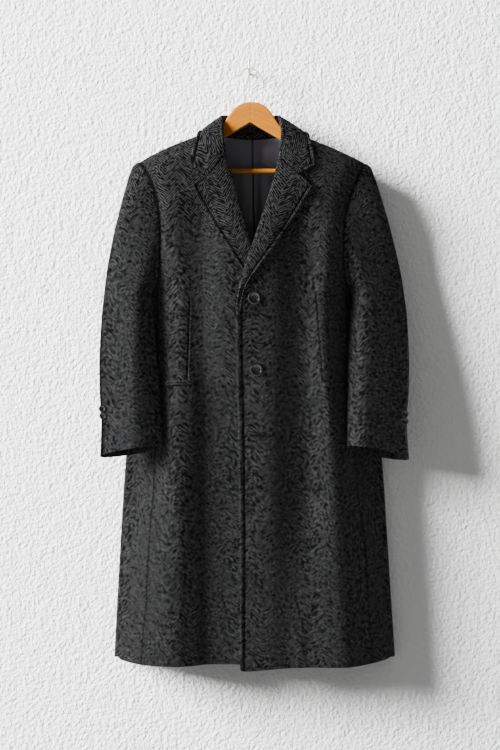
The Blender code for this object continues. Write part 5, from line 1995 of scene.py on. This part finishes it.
@dataclass
class Buttons(Maker):
    """Front and sleeve buttons, sewn through four holes."""

    steps: int = 48
    lift: float = 1.9
    sleeve_lift: float = 2.4
    sleeve_scale: float = 7.3 / 13.6
    sleeve_angle: float = 18.0
    hole_radius: float = 1.25
    hole_offset: float = 2.5
    front_places = ((10.8, 473.1), (15.3, 618.7))
    sleeve_drops = both((698.5, 713.3), (709.0, 724.0))
    buttonhole = ((5.7, 752.3), (34.2, 752.9))
    # Each lip's name, offset down from the slit's line and radius in millimetres, and its painted shade:
    # the slit between the lips is painted fully in shade.
    lips = (("upper_lip", -2.1, 1.0, 0.0), ("slit", 0.0, 1.35, 1.0), ("lower_lip", 2.5, 1.5, 0.0))
    lip_lift: float = 1.3
    thread_radius: float = 0.5
    profile = (
        (0.0, 2.2), (5.0, 2.2), (7.0, 2.3), (8.4, 2.9), (9.6, 4.1), (11.2, 4.5), (12.6, 4.05),
        (13.35, 3.3), (13.6, 2.4), (13.3, 1.5), (12.4, 0.8), (9.0, 0.05), (0.0, 0.0),
    )

    def disc(self, node: str, scale: float, at: Array, normal: Array) -> None:
        """Adds one button, with its four holes cut through.

        Args:
            node: The node that it stands for, after which it is named.
            scale: Its size against a front button.
            at: Where its back lies, in metres.
            normal: The way it faces.
        """
        shape, steps = bmesh.new(), self.steps
        turn = Vector(normal).to_track_quat("Z", "Y").to_matrix()
        rings = []
        for radius, height in self.profile:
            ring = []
            for i in range(1 if radius == 0 else steps):
                angle = 2 * math.pi * i / steps
                local = Vector((radius * math.cos(angle), radius * math.sin(angle), height))
                ring.append(shape.verts.new(turn @ (local * scale * METRES) + Vector(at)))
            rings.append(ring)
        for low, high in zip(rings, rings[1:]):
            for i in range(steps):
                j = (i + 1) % steps
                corners = [low[i % len(low)], low[j % len(low)], high[j % len(high)], high[i % len(high)]]
                shape.faces.new(list(dict.fromkeys(corners)))
        bmesh.ops.recalc_face_normals(shape, faces=shape.faces)
        name = f"coat_{node}"
        mesh = mesh_of(shape, name)
        mesh.shade_smooth()
        piece = add_piece(name, mesh, self.finishes.horn, [node])
        self.cut_holes(piece, scale, at, turn)
        self.threads(name, scale, at, np.array(turn))

    def cut_holes(self, piece: Object, scale: float, at: Array, turn: Any) -> None:
        """Cuts a button's thread holes.

        Args:
            piece: The button.
            scale: Its size against a front button.
            at: Where its back lies, in metres.
            turn: How it is turned, as a matrix.
        """
        shape = bmesh.new()
        radius, offset = self.hole_radius * scale * METRES, self.hole_offset * scale * METRES
        for quarter in range(4):
            angle = math.pi / 4 + quarter * math.pi / 2
            rod = bmesh.ops.create_cone(shape, cap_ends=True, segments=16, radius1=radius, radius2=radius,
                                        depth=12 * METRES)
            bmesh.ops.translate(shape, verts=rod["verts"],
                                vec=(offset * math.cos(angle), offset * math.sin(angle), 0))
        bmesh.ops.transform(shape, matrix=turn.to_4x4(), verts=shape.verts)
        bmesh.ops.translate(shape, verts=shape.verts, vec=Vector(at))
        mesh = mesh_of(shape, "cutter")
        cutter = put_in_scene("cutter", mesh)
        holes = piece.modifiers.new("Thread holes", "BOOLEAN")
        holes.operation, holes.object = "DIFFERENCE", cutter
        shown = bpy.context.evaluated_depsgraph_get()
        cut = bpy.data.meshes.new_from_object(piece.evaluated_get(shown))
        piece.modifiers.clear()
        old, piece.data = piece.data, cut
        bpy.data.meshes.remove(old)
        bpy.data.objects.remove(cutter, do_unlink=True)
        bpy.data.meshes.remove(mesh)

    def threads(self, name: str, scale: float, at: Array, turn: Array) -> None:
        """Adds the two stitches that show on a button, from hole to hole.

        Args:
            name: The button's name.
            scale: Its size against a front button.
            at: Where its back lies, in metres.
            turn: How it is turned, as a matrix.
        """
        offset = self.hole_offset * math.sqrt(0.5)
        for number, over in enumerate((-offset, offset), start=1):
            way = np.linspace(-1, 1, 9)
            height = 2.5 - 1.6 * np.abs(way) ** 6
            local = np.stack([way * offset, np.full_like(way, over), height], axis=1) * scale * METRES
            stitch = f"{name}_stitch_{number}"
            mesh = tube_mesh(stitch, local @ turn.T + at, self.thread_radius * scale * METRES, 8)
            add_piece(stitch, mesh, self.finishes.thread)

    def worked_slit(self) -> None:
        """Adds the lowest buttonhole, which no button covers: a slit, painted fully in shade, between two
        worked lips.
        """
        (start, drop), (end, low) = self.buttonhole
        way = np.linspace(0, 1, 25)
        x = start + (end - start) * way
        for word, offset, radius, dark in self.lips:
            down = drop + (low - drop) * way + offset * np.sqrt(1 - (2 * way - 1) ** 4)
            reach = self.form.lapped_reach(Side.LEFT, x, down) + self.lip_lift
            name = f"coat_buttonhole_{word}"
            mesh = tube_mesh(name, place(x, down, reach), radius * METRES, 10, dark)
            add_piece(name, mesh, self.finishes.wool)

    def build(self) -> None:
        """Adds every button and the open buttonhole."""
        form = self.form
        self.worked_slit()
        for number, (x, drop) in enumerate(self.front_places, start=1):
            reach = float(form.lapped_reach(Side.LEFT, x, drop)) + self.lift
            self.disc(f"front_button_{number}", 1.0, place(x, drop, reach), FORWARD)
        angle = self.sleeve_angle
        for side in Side:
            top = float(form.armhole(side, angle)[1])
            bottom = float(form.sleeve_point(side, np.array(angle), np.array(1.0))[1])
            for number, drop in enumerate(self.sleeve_drops[side], start=1):
                share = (drop - top) / (bottom - top)

                def point(turned: float, way: float) -> Array:
                    """A point of the sleeve."""
                    return place(*form.sleeve_point(side, np.array(turned), np.array(way)))

                here = point(angle, share)
                down, around = point(angle, share + 0.01) - here, point(angle + 2, share) - here
                normal = unit(np.cross(down, around)) * -side
                self.disc(f"sleeve_button_{side.word}_{number}", self.sleeve_scale,
                          here + normal * self.sleeve_lift * METRES, normal)


# Hanger and hooks


@dataclass
class HangerAndHooks(Maker):
    """Wooden hanger, its wire hook and the wall hook, which keep the frame's own solids."""

    wooden: tuple[str, ...] = ("hanger_arm_right", "hanger_arm_left", "hanger_bar")
    glue_inset: float = 0.08
    joint_reach: float = 4.5

    def build(self) -> None:
        """Gives the carried-over solids their finishes, and adds the glue line."""
        dressed = dict.fromkeys(self.wooden, self.finishes.wood)
        dressed |= {"hanger_hook": self.finishes.steel, "wall_hook": self.finishes.brass}
        for name, material in dressed.items():
            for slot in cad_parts[name].material_slots:
                slot.material = material
            LOG.info("%s: %s", name, material.name)
        self.glue_line()

    def end_corners(self, name: str, towards: float) -> Array:
        """Corners of an arm close to the joint.

        Args:
            name: The arm's node.
            towards: 1 where its end looks to higher x, -1 where it looks to lower x.

        Returns:
            Its points, in metres.
        """
        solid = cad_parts[name]
        points = np.array([tuple(solid.matrix_world @ vertex.co) for vertex in solid.data.vertices])
        along = points[:, 0] * towards
        return points[along > along.max() - self.joint_reach * METRES]

    def glue_line(self) -> None:
        """Adds the glue that fills the joint between the two arms, a hair below their faces."""
        points = np.vstack([self.end_corners(f"hanger_arm_{side.word}", -side) for side in Side])
        low, high = points[:, 1:].min(axis=0), points[:, 1:].max(axis=0)
        middle, half = (low + high) / 2, (high - low) / 2
        points[:, 1:] = middle + (points[:, 1:] - middle) * (1 - self.glue_inset * METRES / half)
        shape = bmesh.new()
        for point in points:
            shape.verts.new(tuple(point))
        bmesh.ops.convex_hull(shape, input=shape.verts)
        bmesh.ops.delete(shape, geom=[v for v in shape.verts if not v.link_faces], context="VERTS")
        name = "hanger_glue_line"
        add_piece(name, mesh_of(shape, name), self.finishes.wood)


# Studio


@dataclass
class Studio:
    """Plain wall and floor, soft light and the camera."""

    lens: float = 85.0
    camera_at: Triple = (0.00165, -3.7, -0.6295)
    floor_z: float = -1.72
    wall_top: float = 1.4
    wall_half: float = 2.6
    light_at: Triple = (-8.15, -2.6, 2.9)
    light_to: Triple = (0.0, -0.05, -0.65)
    light_size: float = 4.2
    key_power: float = 1860.0
    second_power: float = 9200.0
    fill: float = 0.27
    second_lit = (
        "wall", "floor", "hanger_arm_right", "hanger_arm_left", "hanger_bar", "hanger_hook", "wall_hook",
        "hanger_glue_line", "coat_lining_back",
    )

    def plane(self, name: str, corners: Sequence[Sequence[float]], material: Material) -> None:
        """A flat stage piece.

        Args:
            name: Its name.
            corners: Its corners, in metres.
            material: Its finish.
        """
        mesh = bpy.data.meshes.new(name)
        mesh.from_pydata(corners, [], [(0, 1, 2, 3)])
        mesh.materials.append(material)
        thing = put_in_scene(name, mesh)
        thing.visible_diffuse = False

    def light(self, name: str, power: float) -> Object:
        """One of the two soft square lights, which hang in the same place.

        Args:
            name: Its name.
            power: Its power in watts.

        Returns:
            The light.
        """
        lamp = bpy.data.lights.new(name, "AREA")
        lamp.shape, lamp.size, lamp.energy = "SQUARE", self.light_size, power
        thing = put_in_scene(name, lamp)
        thing.location = self.light_at
        way = Vector(self.light_to) - Vector(self.light_at)
        thing.rotation_euler = way.to_track_quat("-Z", "Y").to_euler()
        thing.visible_camera = False
        return thing

    def build(self) -> None:
        """Adds the stage, the lights and the camera."""
        wall = Plaster("Rough white plaster", (0.93, 0.93, 0.92), 0.006, True).material()
        floor = Plaster("Pale floor", (0.80, 0.79, 0.77), 0.001).material()
        low, high, wide = self.floor_z, self.wall_top, self.wall_half
        self.plane("wall", ((-wide, 0, low), (wide, 0, low), (wide, 0, high), (-wide, 0, high)), wall)
        self.plane("floor", ((-4, -6, low), (4, -6, low), (4, 4, low), (-4, 4, low)), floor)
        self.light("key", self.key_power)
        second = self.light("second", self.second_power)
        lit = bpy.data.collections.new("Lit by the second light")
        for name in self.second_lit:
            lit.objects.link(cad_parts.get(name) or bpy.data.objects[name])
        second.light_linking.receiver_collection = lit
        world = bpy.data.worlds.new("Studio")
        world.use_nodes = True
        ground = world.node_tree.nodes["Background"]
        ground.inputs["Color"].default_value = (1.0, 1.0, 1.0, 1.0)
        ground.inputs["Strength"].default_value = self.fill
        bpy.context.scene.world = world
        lens = bpy.data.cameras.new("camera")
        lens.lens, lens.sensor_width, lens.sensor_fit = self.lens, 36.0, "AUTO"
        camera = put_in_scene("camera", lens)
        camera.location = self.camera_at
        camera.rotation_euler = (math.radians(90), 0, 0)
        bpy.context.scene.camera = camera


def main() -> None:
    """Builds the coat on its frame and reports each sub-assembly as it is built."""
    logging.basicConfig(level=logging.INFO, format="%(name)s: %(message)s")
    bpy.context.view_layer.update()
    form, finishes = CoatForm(), Finishes()
    for maker in (Body, Sleeves, Lapels, Collar, Pockets, Lining, Buttons, HangerAndHooks):
        maker(form, finishes).build()
        LOG.info("%s built", maker.__name__)
    Studio().build()


if __name__ == "__main__":
    main()
